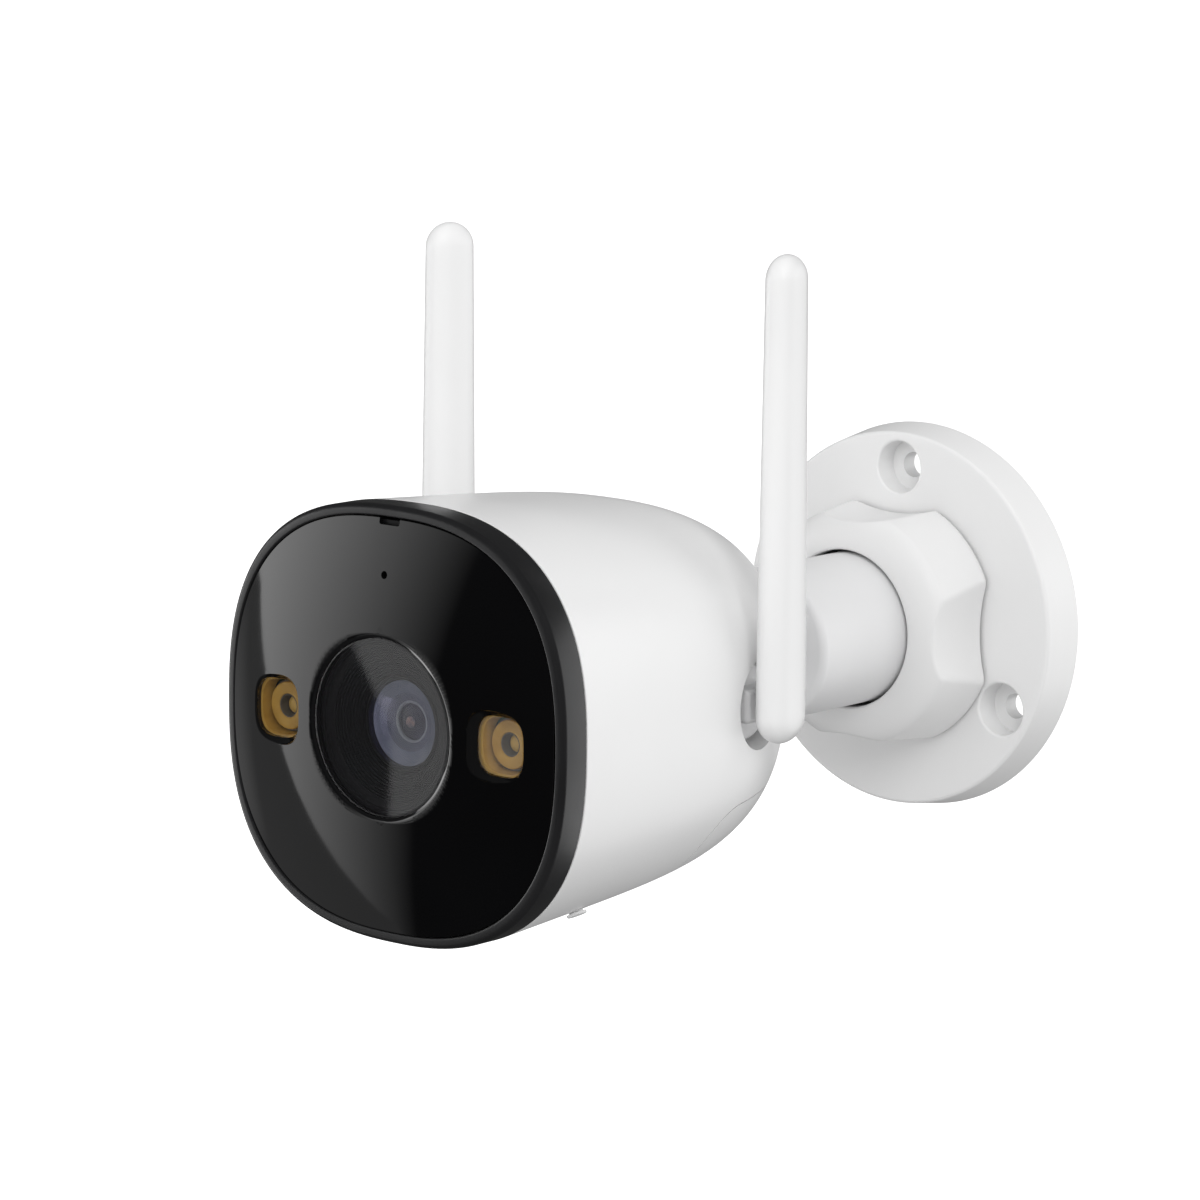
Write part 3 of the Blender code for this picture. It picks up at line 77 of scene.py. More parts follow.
GLAND_SIDE, GLAND_DROP, GLAND_SEAT, GLAND_HOLE, GLAND_WELL = -16.5, 4.0, 65.0, 3.3, 4.9
PIN_RADIUS, EAR_BORE, KNUCKLE_BORE, STEM_HOLE, HUB_HOLE = 2.4, 2.55, 2.7, 5.3, 2.7
SCREW_BORE, SCREW_WELL, SCREW_CUP = 1.55, 2.7, 3.6
ANTENNA_SIDE, ANTENNA_FORWARD, ANTENNA_TOP, ANTENNA_BOTTOM = 37.0, 87.5, 74.6, 6.6
ANTENNA_BREADTH, ANTENNA_DEPTH, ANTENNA_NARROWING, ANTENNA_CANT = 5.2, 3.5, 0.15, 11.0

FORWARD = Matrix.Rotation(math.pi / 2, 4, 'X')
RIGHT = Matrix.Rotation(math.pi / 2, 4, 'Y')
LEFT = Matrix.Rotation(-math.pi / 2, 4, 'Y')
DOWN = Matrix.Rotation(math.pi, 4, 'X')


# ---- mesh helpers -----------------------------------------------------------------------------
def at(side, up, forward):
    return Vector((side, -forward, up))


def head_at(side, up, forward):
    return at(side, up - HEAD_DROP, forward)


def finish(name, bm, look=None, turn=FORWARD, place=None, sharp=35.0):
    """Place a bmesh drawn in millimetres, and hand it back as an object at the origin."""
    bmesh.ops.remove_doubles(bm, verts=bm.verts, dist=0.0008)
    bmesh.ops.dissolve_degenerate(bm, edges=bm.edges, dist=0.0004)
    bmesh.ops.recalc_face_normals(bm, faces=bm.faces)
    move = Matrix.Translation(place or Vector((0, 0, 0))) @ turn
    bmesh.ops.transform(bm, matrix=Matrix.Scale(MM, 4) @ move, verts=bm.verts)
    mesh = bpy.data.meshes.new(name)
    bm.to_mesh(mesh)
    bm.free()
    obj = bpy.data.objects.new(name, mesh)
    bpy.context.scene.collection.objects.link(obj)
    if look:
        mesh.materials.append(look)
    shade(obj, sharp)
    return obj


def shade(obj, sharp=35.0, weighted=False):
    obj.data.shade_smooth()
    obj.data.set_sharp_from_angle(angle=math.radians(sharp))
    if weighted:
        modifier = obj.modifiers.new("normals", 'WEIGHTED_NORMAL')
        modifier.keep_sharp = True
        apply_modifiers(obj)


def apply_modifiers(obj):
    bpy.context.view_layer.update()
    graph = bpy.context.evaluated_depsgraph_get()
    mesh = bpy.data.meshes.new_from_object(obj.evaluated_get(graph))
    obj.modifiers.clear()
    obj.data = mesh


def rounded(corners, steps=5):
    """Replace each corner (a, b, radius) of a closed loop with an arc."""
    points = []
    count = len(corners)
    for i, corner in enumerate(corners):
        here = Vector(corner[:2])
        radius = corner[2] if len(corner) > 2 else 0.0
        before = Vector(corners[i - 1][:2]) - here
        after = Vector(corners[(i + 1) % count][:2]) - here
        if radius <= 0 or before.length < 1e-6 or after.length < 1e-6:
            points.append(tuple(here))
            continue
        u, v = before.normalized(), after.normalized()
        half = math.acos(max(-1.0, min(1.0, u.dot(v)))) / 2
        if half > 1.5 or half < 0.02:
            points.append(tuple(here))
            continue
        reach = min(radius / math.tan(half), before.length * 0.48, after.length * 0.48)
        radius = reach * math.tan(half)
        centre = here + (u + v).normalized() * (radius / math.sin(half))
        start = here + u * reach - centre
        end = here + v * reach - centre
        sweep = start.angle_signed(end)
        for k in range(steps + 1):
            points.append(tuple(centre + rotate(start, -sweep * k / steps)))
    return points


def rotate(vector, angle):
    c, s = math.cos(angle), math.sin(angle)
    return Vector((vector.x * c - vector.y * s, vector.x * s + vector.y * c))


def turned(name, profile, look=None, turn=FORWARD, place=None, facets=ROUND, sharp=35.0):
    """A solid of revolution from a closed loop of (radius, along, corner radius)."""
    bm = bmesh.new()
    rings = []
    for radius, along in rounded(profile):
        steps = facets if radius > 1e-6 else 1
        rings.append([bm.verts.new((radius * math.cos(2 * math.pi * i / facets),
                                    radius * math.sin(2 * math.pi * i / facets), along))
                      for i in range(steps)])
    for i in range(len(rings)):
        join_rings(bm, rings[i - 1], rings[i])
    return finish(name, bm, look, turn, place, sharp)


def join_rings(bm, first, second):
    if len(first) == 1 and len(second) == 1:
        return
    if len(first) == 1 or len(second) == 1:
        tip, ring = (first[0], second) if len(first) == 1 else (second[0], first)
        for i in range(len(ring)):
            bm.faces.new((tip, ring[i - 1], ring[i]))
        return
    for i in range(len(first)):
        bm.faces.new((first[i - 1], first[i], second[i], second[i - 1]))


def lofted(name, rings, look=None, turn=FORWARD, place=None, closed=False, sharp=35.0):
    bm = bmesh.new()
    loops = [[bm.verts.new(point) for point in ring] for ring in rings]
    for first, second in zip(loops, loops[1:]):
        join_rings(bm, first, second)
    if closed:
        join_rings(bm, loops[-1], loops[0])
    else:
        bm.faces.new(loops[0])
        bm.faces.new(loops[-1])
    return finish(name, bm, look, turn, place, sharp)


def prism(name, outline, low, high, look=None, turn=FORWARD, place=None, edge=0.0):
    """An extruded outline; edge rounds over its front rim by shrinking the last rings."""
    levels = [(0.0, low), (0.0, high - edge)]
    if edge:
        for k in range(1, 4):
            angle = math.pi / 2 * k / 3
            levels.append((edge * (1 - math.cos(angle)), high - edge + edge * math.sin(angle)))
    reach = max(abs(x) for x, y in outline)
    rings = [[(x * (1 - inset / reach), y * (1 - inset / reach), level) for x, y in outline]
             for inset, level in levels]
    return lofted(name, rings, look, turn, place)


def block(name, size, look=None, turn=FORWARD, place=None, bevel=0.0):
    bm = bmesh.new()
    bmesh.ops.create_cube(bm, size=1.0)
    bmesh.ops.scale(bm, vec=size, verts=bm.verts)
    if bevel:
        bmesh.ops.bevel(bm, geom=bm.edges[:], offset=bevel, segments=3, profile=0.5,
                        affect='EDGES')
    return finish(name, bm, look, turn, place, 30.0)


def cut(target, cutters, operation='DIFFERENCE'):
    """Apply Booleans at once and remove their cutters."""
    for cutter in cutters:
        modifier = target.modifiers.new("cut", 'BOOLEAN')
        modifier.object = cutter
        modifier.operation = operation
        modifier.solver = 'EXACT'
        apply_modifiers(target)
    for cutter in cutters:
        bpy.data.objects.remove(cutter, do_unlink=True)
    return target


def rounded_square(half_width, half_height, power=POWER, count=FINE):
    points = []
    for i in range(count):
        c, s = math.cos(2 * math.pi * i / count), math.sin(2 * math.pi * i / count)
        points.append((half_width * math.copysign(abs(c) ** (2 / power), c),
                       half_height * math.copysign(abs(s) ** (2 / power), s)))
    return points


def share_at(forward, end_shift=0.0):
    """How much of the full section the head has at a place along it."""
    behind = max(HOUSING_FRONT - forward, 0.0)
    closing = 1 - (behind / (END_LENGTH - end_shift)) ** END_POWER
    return (1 - TAPER * behind) * math.sqrt(max(closing, 0.0))


def section(inset, forward, end_shift=0.0):
    share = share_at(forward, end_shift)
    return [(x, y, forward) for x, y in rounded_square(HALF_WIDTH * share - inset,
                                                       HALF_HEIGHT * share - inset)]


def crown(x, y):
    """How far forward the domed face stands."""
    return PLATE_APEX - (x * x + y * y) / (2 * PLATE_CURVE)


def stations(rear, front, count, crowding=1.7):
    """Places along the head, closer together at its round rear end."""
    return [rear + (front - rear) * (i / (count - 1)) ** crowding for i in range(count)]


def side_turn(side):
    return RIGHT if side > 0 else LEFT


# ---- procedural materials ---------------------------------------------------------------------
class Look:
    """A Principled material with helpers for its procedural detail."""

    def __init__(self, name, colour, roughness, metallic=0.0):
        self.material = bpy.data.materials.new(name)
        self.material.use_nodes = True
        self.tree = self.material.node_tree
        self.shader = self.tree.nodes["Principled BSDF"]
        self.set("Base Color", (*colour, 1.0))
        self.set("Roughness", roughness)
        self.set("Metallic", metallic)
        self.colour = colour
        self.roughness = roughness
        self.place = self.node("ShaderNodeTexCoord").outputs["Object"]

    def node(self, kind, **values):
        made = self.tree.nodes.new(kind)
        for key, value in values.items():
            setattr(made, key, value)
        return made

    def link(self, source, target):
        self.tree.links.new(source, target)

    def set(self, socket, value):
        self.shader.inputs[socket].default_value = value

    def noise(self, scale, detail=3.0):
        made = self.node("ShaderNodeTexNoise")
        made.inputs["Scale"].default_value = scale
        made.inputs["Detail"].default_value = detail
        self.link(self.place, made.inputs["Vector"])
        return made.outputs["Fac"]

    def spread(self, source, low, high, start, end):
        """Stretch the source's range from start to end over low to high."""
        made = self.node("ShaderNodeMapRange")
        made.inputs["From Min"].default_value = start
        made.inputs["From Max"].default_value = end
        made.inputs["To Min"].default_value = low
        made.inputs["To Max"].default_value = high
        self.link(source, made.inputs["Value"])
        return made.outputs["Result"]

    def mix(self, factor, first, second):
        made = self.node("ShaderNodeMix", data_type='RGBA')
        made.inputs["A"].default_value = (*first, 1.0)
        made.inputs["B"].default_value = (*second, 1.0)
        self.link(factor, made.inputs["Factor"])
        return made.outputs["Result"]

    def vary(self, scale, amount, darker=None):
        """Soft blotches of colour."""
        second = darker or tuple(c * (1 - amount) for c in self.colour)
        self.link(self.mix(self.spread(self.noise(scale), 0, 1, 0.35, 0.65), self.colour, second),
                  self.shader.inputs["Base Color"])
        return self

    def gloss(self, scale, amount):
        """Patches that are a little smoother or rougher."""
        value = self.spread(self.noise(scale, 4.0), self.roughness - amount,
                            self.roughness + amount, 0.3, 0.7)
        self.link(value, self.shader.inputs["Roughness"])
        return self

    def grain(self, scale, depth, strength, detail=2.0):
        """Fine surface relief, with depth in millimetres."""
        bump = self.node("ShaderNodeBump")
        bump.inputs["Strength"].default_value = strength
        bump.inputs["Distance"].default_value = depth * MM
        self.link(self.noise(scale, detail), bump.inputs["Height"])
        self.link(bump.outputs["Normal"], self.shader.inputs["Normal"])
        return self


white = Look("white_plastic", (0.86, 0.86, 0.86), 0.36).vary(26, 0.02).gloss(60, 0.04)
white.grain(4200, 0.006, 0.5)
# A darker copy of the white plastic for the arm, knuckle and antenna hubs: painted shade, standing
# in for the shade under and inside the head where they sit.
white_painted_shade = Look("white_plastic_painted_shade", (0.8, 0.8, 0.805), 0.4).vary(40, 0.025).gloss(90, 0.05)
white_painted_shade.grain(3600, 0.008, 0.6)
bezel_black = Look("satin_black", (0.012, 0.012, 0.013), 0.34).vary(50, 0.25).gloss(120, 0.05)
bezel_black.grain(3800, 0.006, 0.6)
gloss_black = Look("gloss_black", (0.0035, 0.0035, 0.0038), 0.045).vary(30, 0.2)
gloss_black.gloss(35, 0.012)
matt_black = Look("matt_black", (0.006, 0.006, 0.0065), 0.6).vary(80, 0.3).gloss(200, 0.08)
matt_black.grain(2600, 0.01, 0.6)
hood_black = Look("hood_black", (0.008, 0.008, 0.009), 0.38).vary(90, 0.25).gloss(150, 0.06)
hood_black.grain(3000, 0.006, 0.5).set("Specular IOR Level", 0.1)
rubber = Look("rubber", (0.018, 0.018, 0.018), 0.75).vary(120, 0.3).gloss(220, 0.08)
rubber.grain(1800, 0.02, 0.7)
steel = Look("zinc_steel", (0.62, 0.62, 0.64), 0.3, 1.0).vary(140, 0.12).gloss(300, 0.08)
steel.grain(2500, 0.006, 0.6)
aluminium = Look("aluminium", (0.75, 0.76, 0.78), 0.38, 1.0).vary(150, 0.1).gloss(260, 0.08)
aluminium.grain(1600, 0.01, 0.5)
board_green = Look("solder_mask", (0.015, 0.13, 0.055), 0.38).vary(500, 0.0, (0.02, 0.2, 0.09))
board_green.gloss(400, 0.08).grain(900, 0.03, 0.5)
ribbon = Look("ribbon_white", (0.74, 0.74, 0.72), 0.5).vary(200, 0.08).gloss(200, 0.08)
ribbon.grain(1500, 0.02, 0.5)
amber = Look("amber_phosphor", (0.6, 0.36, 0.075), 0.42).vary(300, 0.0, (0.48, 0.27, 0.05))
amber.gloss(300, 0.08).grain(1500, 0.01, 0.5)


# ---- clear pieces: partly transparent, with a high index so that they still reflect -----------
def clear_look(name, colour, opacity, roughness=0.02, index=2.6, tint=(1.0, 1.0, 1.0)):
    look = Look(name, colour, roughness)
    look.set("Alpha", opacity)
    look.set("IOR", index)
    look.set("Specular Tint", (*tint, 1.0))
    look.gloss(60, 0.006)
    look.vary(60, 0.3)
    return look


clear = clear_look("clear_window", (0.01, 0.01, 0.012), 0.16)
lens_glass = clear_look("coated_lens", (0.05, 0.05, 0.1), 0.2, 0.015, 2.8,
                        (0.72, 0.66, 1.0))
filter_glass = clear_look("filter_glass", (0.1, 0.3, 0.32), 0.5, 0.05, 1.8)


def show(piece, body, slot, *nodes):
    """Say which body carries a piece and which CAD nodes it stands for; the slot argument is not
    used.
    """
    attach(piece, body)
    if nodes:
        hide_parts(*nodes)
    return piece


# ---- wall plate -------------------------------------------------------------------------------
def hole_cutter(i, centre, depth, hole_radius, bore_radius, top, edge):
    """A counterbore with a rounded mouth and a screw hole under it, as one cutter."""
    floor = top - depth
    mouth = []
    for k in range(5):
        angle = math.pi / 2 * k / 4
        mouth.append((bore_radius + edge * (1 - math.cos(angle)),
                      top - edge + edge * math.sin(angle)))
    profile = [(0, -1), (hole_radius, -1), (hole_radius, floor), (bore_radius, floor)]
    profile += mouth + [(bore_radius + edge, top + 2), (0, top + 2)]
    return turned(f"cutter_{i}", profile, place=centre, facets=64)


def make_wall_plate():
    rim = PLATE_RADIUS - PLATE_DRAFT
    inner = ARM_RADIUS - ARM_WALL
    profile = [(0, 0), (PLATE_RADIUS, 0, 0.3), (rim + 0.12, PLATE_THICK, 0.75),
               (SPIGOT_RADIUS, PLATE_THICK, 0.5), (SPIGOT_RADIUS, SPIGOT_END, 0.4),
               (inner, SPIGOT_END, 0.4), (inner, PLATE_THICK, 0.3), (0, PLATE_THICK)]
    for radius in (20, 23, 26, 29, 32):
        profile.insert(3, (radius, PLATE_THICK))
    plate = turned("wall_plate_skin", profile, white.material, facets=240, sharp=50)
    cutters = []
    for i in range(3):
        angle = math.radians(90 + 120 * i)
        centre = at(HOLE_CIRCLE * math.cos(angle), HOLE_CIRCLE * math.sin(angle), 0)
        cutters.append(hole_cutter(i, centre, COUNTERBORE_DEPTH, HOLE_RADIUS,
                                   COUNTERBORE_RADIUS, PLATE_THICK, 0.45))
    cut(plate, cutters)
    shade(plate, 50, True)
    show(plate, "wall", "white_plastic", "wall_plate")


# ---- lock nut ---------------------------------------------------------------------------------
def smooth_least(a, b, soft):
    """The smaller of two lengths, rounded over where they meet."""
    near = max(soft - abs(a - b), 0.0) / soft
    return min(a, b) - near * near * soft / 4


def nut_ring(radius, level, scallops=True):
    """A ring of the nut, cut by four round-bottomed finger scallops."""
    count = 480
    points = []
    for i in range(count):
        angle = 2 * math.pi * i / count
        off = (angle + math.pi / 4) % (math.pi / 2) - math.pi / 4
        r = radius
        beside = SCALLOP_PLACE * math.sin(off)
        if scallops and abs(beside) < SCALLOP_RADIUS:
            wall = SCALLOP_PLACE * math.cos(off) - math.sqrt(SCALLOP_RADIUS ** 2 - beside ** 2)
            r = smooth_least(radius, wall, 0.5)
        points.append((r * math.cos(angle), r * math.sin(angle), level))
    return points


def make_lock_nut():
    bore = ARM_RADIUS + 0.6
    thread = SPIGOT_RADIUS + GAP
    lip_back = NUT_FRONT - 3.1
    nose = NUT_RADIUS - NUT_TAPER
    shoulder = NUT_FRONT - 3.6
    outer = [(NUT_RADIUS - 0.5, NUT_START), (NUT_RADIUS - 0.15, NUT_START + 0.15)]
    for k in range(13):
        share = k / 12
        outer.append((NUT_RADIUS - NUT_TAPER * share,
                      NUT_START + 0.5 + (shoulder - NUT_START - 0.5) * share))
    for k in range(1, 37):
        angle = math.pi / 2 * k / 36
        outer.append((nose - 6.0 * (1 - math.cos(angle)), shoulder + 3.6 * math.sin(angle)))
    rings = [nut_ring(radius, level) for radius, level in outer]
    inner = rounded([(thread, NUT_START, 0.3), (thread, lip_back, 0.3), (bore, lip_back, 0.2),
                     (bore, NUT_FRONT, 0.5), (nose - 6.0, NUT_FRONT)])[:-1]
    rings += [nut_ring(radius, level, False) for radius, level in reversed(inner)]
    nut = lofted("lock_nut_skin", rings, white.material, closed=True, sharp=60)
    show(nut, "nut", "white_plastic", "lock_nut")


# ---- arm and elbow ----------------------------------------------------------------------------
def ear_outline():
    root = -(ARM_FRONT - 1.0)
    points = [(EAR_RADIUS, root), (-EAR_RADIUS, root)]
    for i in range(33):
        angle = math.pi + math.pi * i / 32
        points.append((EAR_RADIUS * math.cos(angle), -ELBOW_FORWARD + EAR_RADIUS * math.sin(angle)))
    return points


def make_arm():
    low = SPIGOT_END + GAP
    inner = ARM_RADIUS - ARM_WALL
    profile = [(inner, low), (FLANGE_RADIUS, low, 0.3), (FLANGE_RADIUS, low + FLANGE_THICK, 0.3),
               (ARM_RADIUS, low + FLANGE_THICK, 0.3), (ARM_RADIUS, ARM_FRONT, 1.3), (0, ARM_FRONT),
               (0, ARM_FRONT - ARM_WALL), (inner, ARM_FRONT - ARM_WALL)]
    # The arm takes the darker white copy: painted shade.
    arm = turned("arm_skin", profile, white_painted_shade.material, facets=160)
    for side in (-1, 1):
        ear = prism("ear", ear_outline(), EAR_INNER, EAR_OUTER, turn=side_turn(side))
        cut(arm, [ear], 'UNION')
    bore = turned("cutter", [(0, -EAR_OUTER - 1), (EAR_BORE, -EAR_OUTER - 1),
                             (EAR_BORE, EAR_OUTER + 1), (0, EAR_OUTER + 1)], turn=RIGHT,
                  place=at(0, 0, ELBOW_FORWARD), facets=48)
    cut(arm, [bore])
    round_edges(arm, 0.35)
    show(arm, "arm", "white_plastic", "arm")
    head = EAR_OUTER + GAP
    profile = [(0, -EAR_OUTER - 0.8), (PIN_RADIUS, -EAR_OUTER - 0.8, 0.4),
               (PIN_RADIUS, head), (4.2, head, 0.1), (4.2, head + 1.8, 0.6), (1.5, head + 1.8, 0.1),
               (1.3, head + 0.7), (0, head + 0.7)]
    pin = turned("elbow_pin_skin", profile, steel.material, RIGHT, at(0, 0, ELBOW_FORWARD), 64)
    show(pin, "arm", "steel", "elbow_pin")


def round_edges(obj, width):
    """A small Bevel on the sharp edges that Booleans leave."""
    angle = 35.0
    bevel = obj.modifiers.new("edges", 'BEVEL')
    bevel.width = width * MM
    bevel.segments = 3
    bevel.limit_method = 'ANGLE'
    bevel.angle_limit = math.radians(angle)
    bevel.use_clamp_overlap = True
    apply_modifiers(obj)
    shade(obj, angle + 5, True)


def make_knuckle():
    width = EAR_INNER - GAP
    # The knuckle takes the darker white copy: painted shade.
    knuckle = turned("elbow_knuckle_skin",
                     [(0, -width), (KNUCKLE_RADIUS, -width, 0.5), (KNUCKLE_RADIUS, width, 0.5),
                      (0, width)], white_painted_shade.material, RIGHT, at(0, 0, ELBOW_FORWARD), 96)
    back = ELBOW_FORWARD + EAR_RADIUS + GAP
    front = HOUSING_REAR - GAP
    tip = HOUSING_REAR + 6.7
    stem = turned("stem", [(0, ELBOW_FORWARD), (STEM_RADIUS, ELBOW_FORWARD),
                           (STEM_RADIUS, back, 0.2), (COLLAR_RADIUS, back, 0.35),
                           (COLLAR_RADIUS, front, 0.2), (STEM_RADIUS, front),
                           (STEM_RADIUS, tip, 0.4), (0, tip)], facets=96)
    cut(knuckle, [stem], 'UNION')
    bore = turned("cutter", [(0, -width - 1), (KNUCKLE_BORE, -width - 1),
                             (KNUCKLE_BORE, width + 1), (0, width + 1)], turn=RIGHT,
                  place=at(0, 0, ELBOW_FORWARD), facets=48)
    cut(knuckle, [bore])
    shade(knuckle, 40)
    show(knuckle, "knuckle", "white_plastic", "elbow_knuckle")


# ---- housing ----------------------------------------------------------------------------------
def service_outline(grow):
    """The cover's outline from the side, larger or smaller by grow."""
    front = COVER_FRONT + grow
    top = -COVER_TOP + grow
    radius = COVER_CORNER + grow
    points = [(top + 2.0, -(HOUSING_REAR - 4)), (top + 1.4, -(HOUSING_REAR + 10))]
    for i in range(25):
        angle = math.pi / 2 * i / 24
        points.append((top - radius * (1 - math.cos(angle)),
                       -(front - radius * (1 - math.sin(angle)))))
    bottom = -HALF_HEIGHT - 8
    return points + [(bottom, -front), (bottom, -(HOUSING_REAR - 4))]


def service_prism(grow):
    reach = HALF_WIDTH + 5
    return prism("service", [(-up, f) for up, f in service_outline(grow)], -reach, reach,
                 turn=RIGHT)


def shell(name, look, thick, inner_rear):
    """The head's skin from its rear face to the bezel seam, with a softened front edge."""
    front_edge = 0.25
    outer = stations(HOUSING_REAR, HOUSING_FRONT - front_edge, 64)
    rings = [[(x * 0.985, y * 0.985, HOUSING_REAR) for x, y, f in section(0.0, HOUSING_REAR + 0.02)]]
    rings += [section(0.0, f) for f in outer[1:]]
    for k in range(1, 4):
        angle = math.pi / 2 * k / 3
        rings.append(section(front_edge * (1 - math.cos(angle)),
                             HOUSING_FRONT - front_edge * (1 - math.sin(angle))))
    inside = [section(thick, f, thick) for f in stations(inner_rear, HOUSING_FRONT, 28)]
    return lofted(name, rings + inside[::-1], look, place=Vector((0, 0, -HEAD_DROP)))


def vent_spot():
    """Where the breather plug sits under the head, and the turn that makes it stand square."""
    power = 2 / POWER
    share = share_at(VENT_FORWARD)
    c, s = math.cos(math.radians(VENT_ANGLE)), math.sin(math.radians(VENT_ANGLE))
    place = head_at(HALF_WIDTH * share * c ** power, -HALF_HEIGHT * share * s ** power,
                    VENT_FORWARD)
    turn = Matrix.Rotation(math.atan2(c ** (2 - power) / HALF_WIDTH,
                                      -(s ** (2 - power)) / HALF_HEIGHT), 4, 'Y')
    return place, turn


def make_housing():
    housing = shell("housing_skin", white.material, WALL, HOUSING_REAR + REAR_WALL)
    pocket = head_at(0, 0, POCKET_FORWARD)
    cup_radius, cup_floor, cup_top = (POCKET_RADIUS + POCKET_WALL, POCKET_FLOOR - POCKET_WALL,
                                      POCKET_FLOOR + 3.5)
    cups, cutters = [], []
    for side in (-1, 1):
        cups.append(turned("cup", [(0, cup_floor), (cup_radius, cup_floor), (cup_radius, cup_top),
                                   (0, cup_top)],
                           turn=side_turn(side), place=pocket, facets=96))
        cutters.append(turned("pocket", [(0, POCKET_FLOOR - 4), (HUB_HOLE, POCKET_FLOOR - 4),
                                         (HUB_HOLE, POCKET_FLOOR),
                                         (POCKET_RADIUS, POCKET_FLOOR, 0.8),
                                         (POCKET_RADIUS, HALF_WIDTH + 4),
                                         (0, HALF_WIDTH + 4)],
                              turn=side_turn(side), place=pocket, facets=96))
    cut(housing, cups, 'UNION')
    cutters.append(turned("stem_hole", [(0, HOUSING_REAR - 2), (STEM_HOLE, HOUSING_REAR - 2),
                                        (STEM_HOLE, HOUSING_REAR + 5), (0, HOUSING_REAR + 5)],
                          facets=64))
    cutters.append(service_prism(0.0))
    for i in range(SLOTS):
        forward = SPEAKER_FORWARD + SLOT_PITCH * (i - (SLOTS - 1) / 2)
        cutters.append(slot_cutter(forward))
    place, turn = vent_spot()
    cutters.append(turned("vent_hole", [(0, -6), (1.5, -6), (1.5, 6), (0, 6)], turn=turn,
                          place=place, facets=32))
    gland = head_at(GLAND_SIDE, -GLAND_DROP, 0)
    cutters.append(turned("gland_hole", [(0, HOUSING_REAR - 6), (GLAND_WELL, HOUSING_REAR - 6),
                                         (GLAND_WELL, GLAND_SEAT), (GLAND_HOLE, GLAND_SEAT),
                                         (GLAND_HOLE, GLAND_SEAT + 9), (0, GLAND_SEAT + 9)],
                          place=gland, facets=48))
    cut(housing, cutters)
    shade(housing, 32, True)
    show(housing, "head", "white_plastic", "housing")


def slot_cutter(forward):
    """A sound slot with round ends."""
    radius = SLOT_WIDTH / 2
    straight = 4.5 - radius
    turns = [math.pi / 2 - math.pi * k / 10 for k in range(11)]
    outline = [(straight + radius * math.cos(a), radius * math.sin(a)) for a in turns]
    outline += [(-x, -y) for x, y in outline]
    return prism("slot", outline, 28, 45, turn=DOWN, place=head_at(0, 0, forward))


def make_fittings():
    place, turn = vent_spot()
    vent = turned("vent_plug_skin", [(0, -3.2), (1.2, -3.2), (1.2, GAP), (1.7, GAP, 0.1),
                                     (1.7, 0.8, 0.35), (0.45, 0.8, 0.1), (0.35, 0.55),
                                     (0, 0.55)], white.material, turn, place, 48)
    show(vent, "head", "white_plastic", "vent_plug")
    flange = GLAND_SEAT - GAP
    gland = turned("cable_gland_skin",
                   [(1.7, flange - 2.6, 0.3), (2.7, flange - 2.6, 0.3), (3.0, flange - 2.0, 0.2),
                    (3.9, flange - 2.2, 0.3), (4.6, flange - 1.5, 0.3), (4.6, flange, 0.2),
                    (3.0, flange, 0.1), (3.0, flange + 7, 0.3), (1.7, flange + 7, 0.2)],
                   rubber.material, place=head_at(GLAND_SIDE, -GLAND_DROP, 0), facets=64)
    show(gland, "head", "rubber", "cable_gland")


def make_service_cover():
    cover = shell("service_cover_skin", white.material, COVER_THICK, HOUSING_REAR + COVER_THICK)
    cut(cover, [service_prism(-0.22)], 'INTERSECT')
    seat = HALF_HEIGHT * share_at(COVER_SCREW_FORWARD) - 1.8
    place = head_at(0, -seat, COVER_SCREW_FORWARD)
    cup = turned("cup", [(0, -1.8), (SCREW_CUP, -1.8), (SCREW_CUP, 0.9), (0, 0.9)], turn=DOWN,
                 place=place, facets=64)
    cut(cover, [cup], 'UNION')
    bore = turned("bore", [(0, -6), (SCREW_BORE, -6), (SCREW_BORE, -GAP), (SCREW_WELL, -GAP),
                           (SCREW_WELL, 10), (0, 10)], turn=DOWN, place=place, facets=64)
    cut(cover, [bore])
    shade(cover, 32, True)
    show(cover, "cover", "white_plastic", "service_cover")
    make_screw_head("cover_screw_skin", "cover", "cover_screw", place, DOWN)


def make_screw_head(name, body, node, place, turn):
    """Pan head with a cross recess over a threaded shank."""
    profile = [(0, -7.0), (0.7, -7.0, 0.2)]
    turns = 12
    for k in range(turns):
        level = -6.4 + 6.0 * k / turns
        profile += [(1.22, level + 0.12), (0.98, level + 0.36)]
    profile += [(1.25, 0), (2.4, 0, 0.1), (2.4, 1.6, 0.7), (0, 1.6)]
    screw = turned(name, profile, steel.material, turn, place, 48)
    arms = [block("arm", size, turn=turn, place=place + turn.to_3x3() @ Vector((0, 0, 1.5)))
            for size in ((2.6, 0.5, 1.3), (0.5, 2.6, 1.3))]
    cut(screw, arms)
    shade(screw, 35)
    show(screw, body, "steel", node)


# ---- front bezel and face ---------------------------------------------------------------------
def make_bezel():
    skirt = WALL + GAP
    profile = rounded([(0.0, HOUSING_FRONT + 0.22, 0.2), (0.0, LIP - 0.15, 1.15),
                       (LIP_WIDTH, LIP - 0.02, 0.3), (LIP_WIDTH, SEAT), (skirt + 2.0, SEAT, 0.1),
                       (skirt + 2.0, 128.0, 0.1), (skirt, 128.0, 0.1), (skirt, 136.8)], 6)
    rings = [section(inset, forward) for inset, forward in profile]
    bezel = lofted("front_bezel_skin", rings, bezel_black.material, closed=True,
                   place=Vector((0, 0, -HEAD_DROP)), sharp=50)
    show(bezel, "head", "black_plastic", "front_bezel")


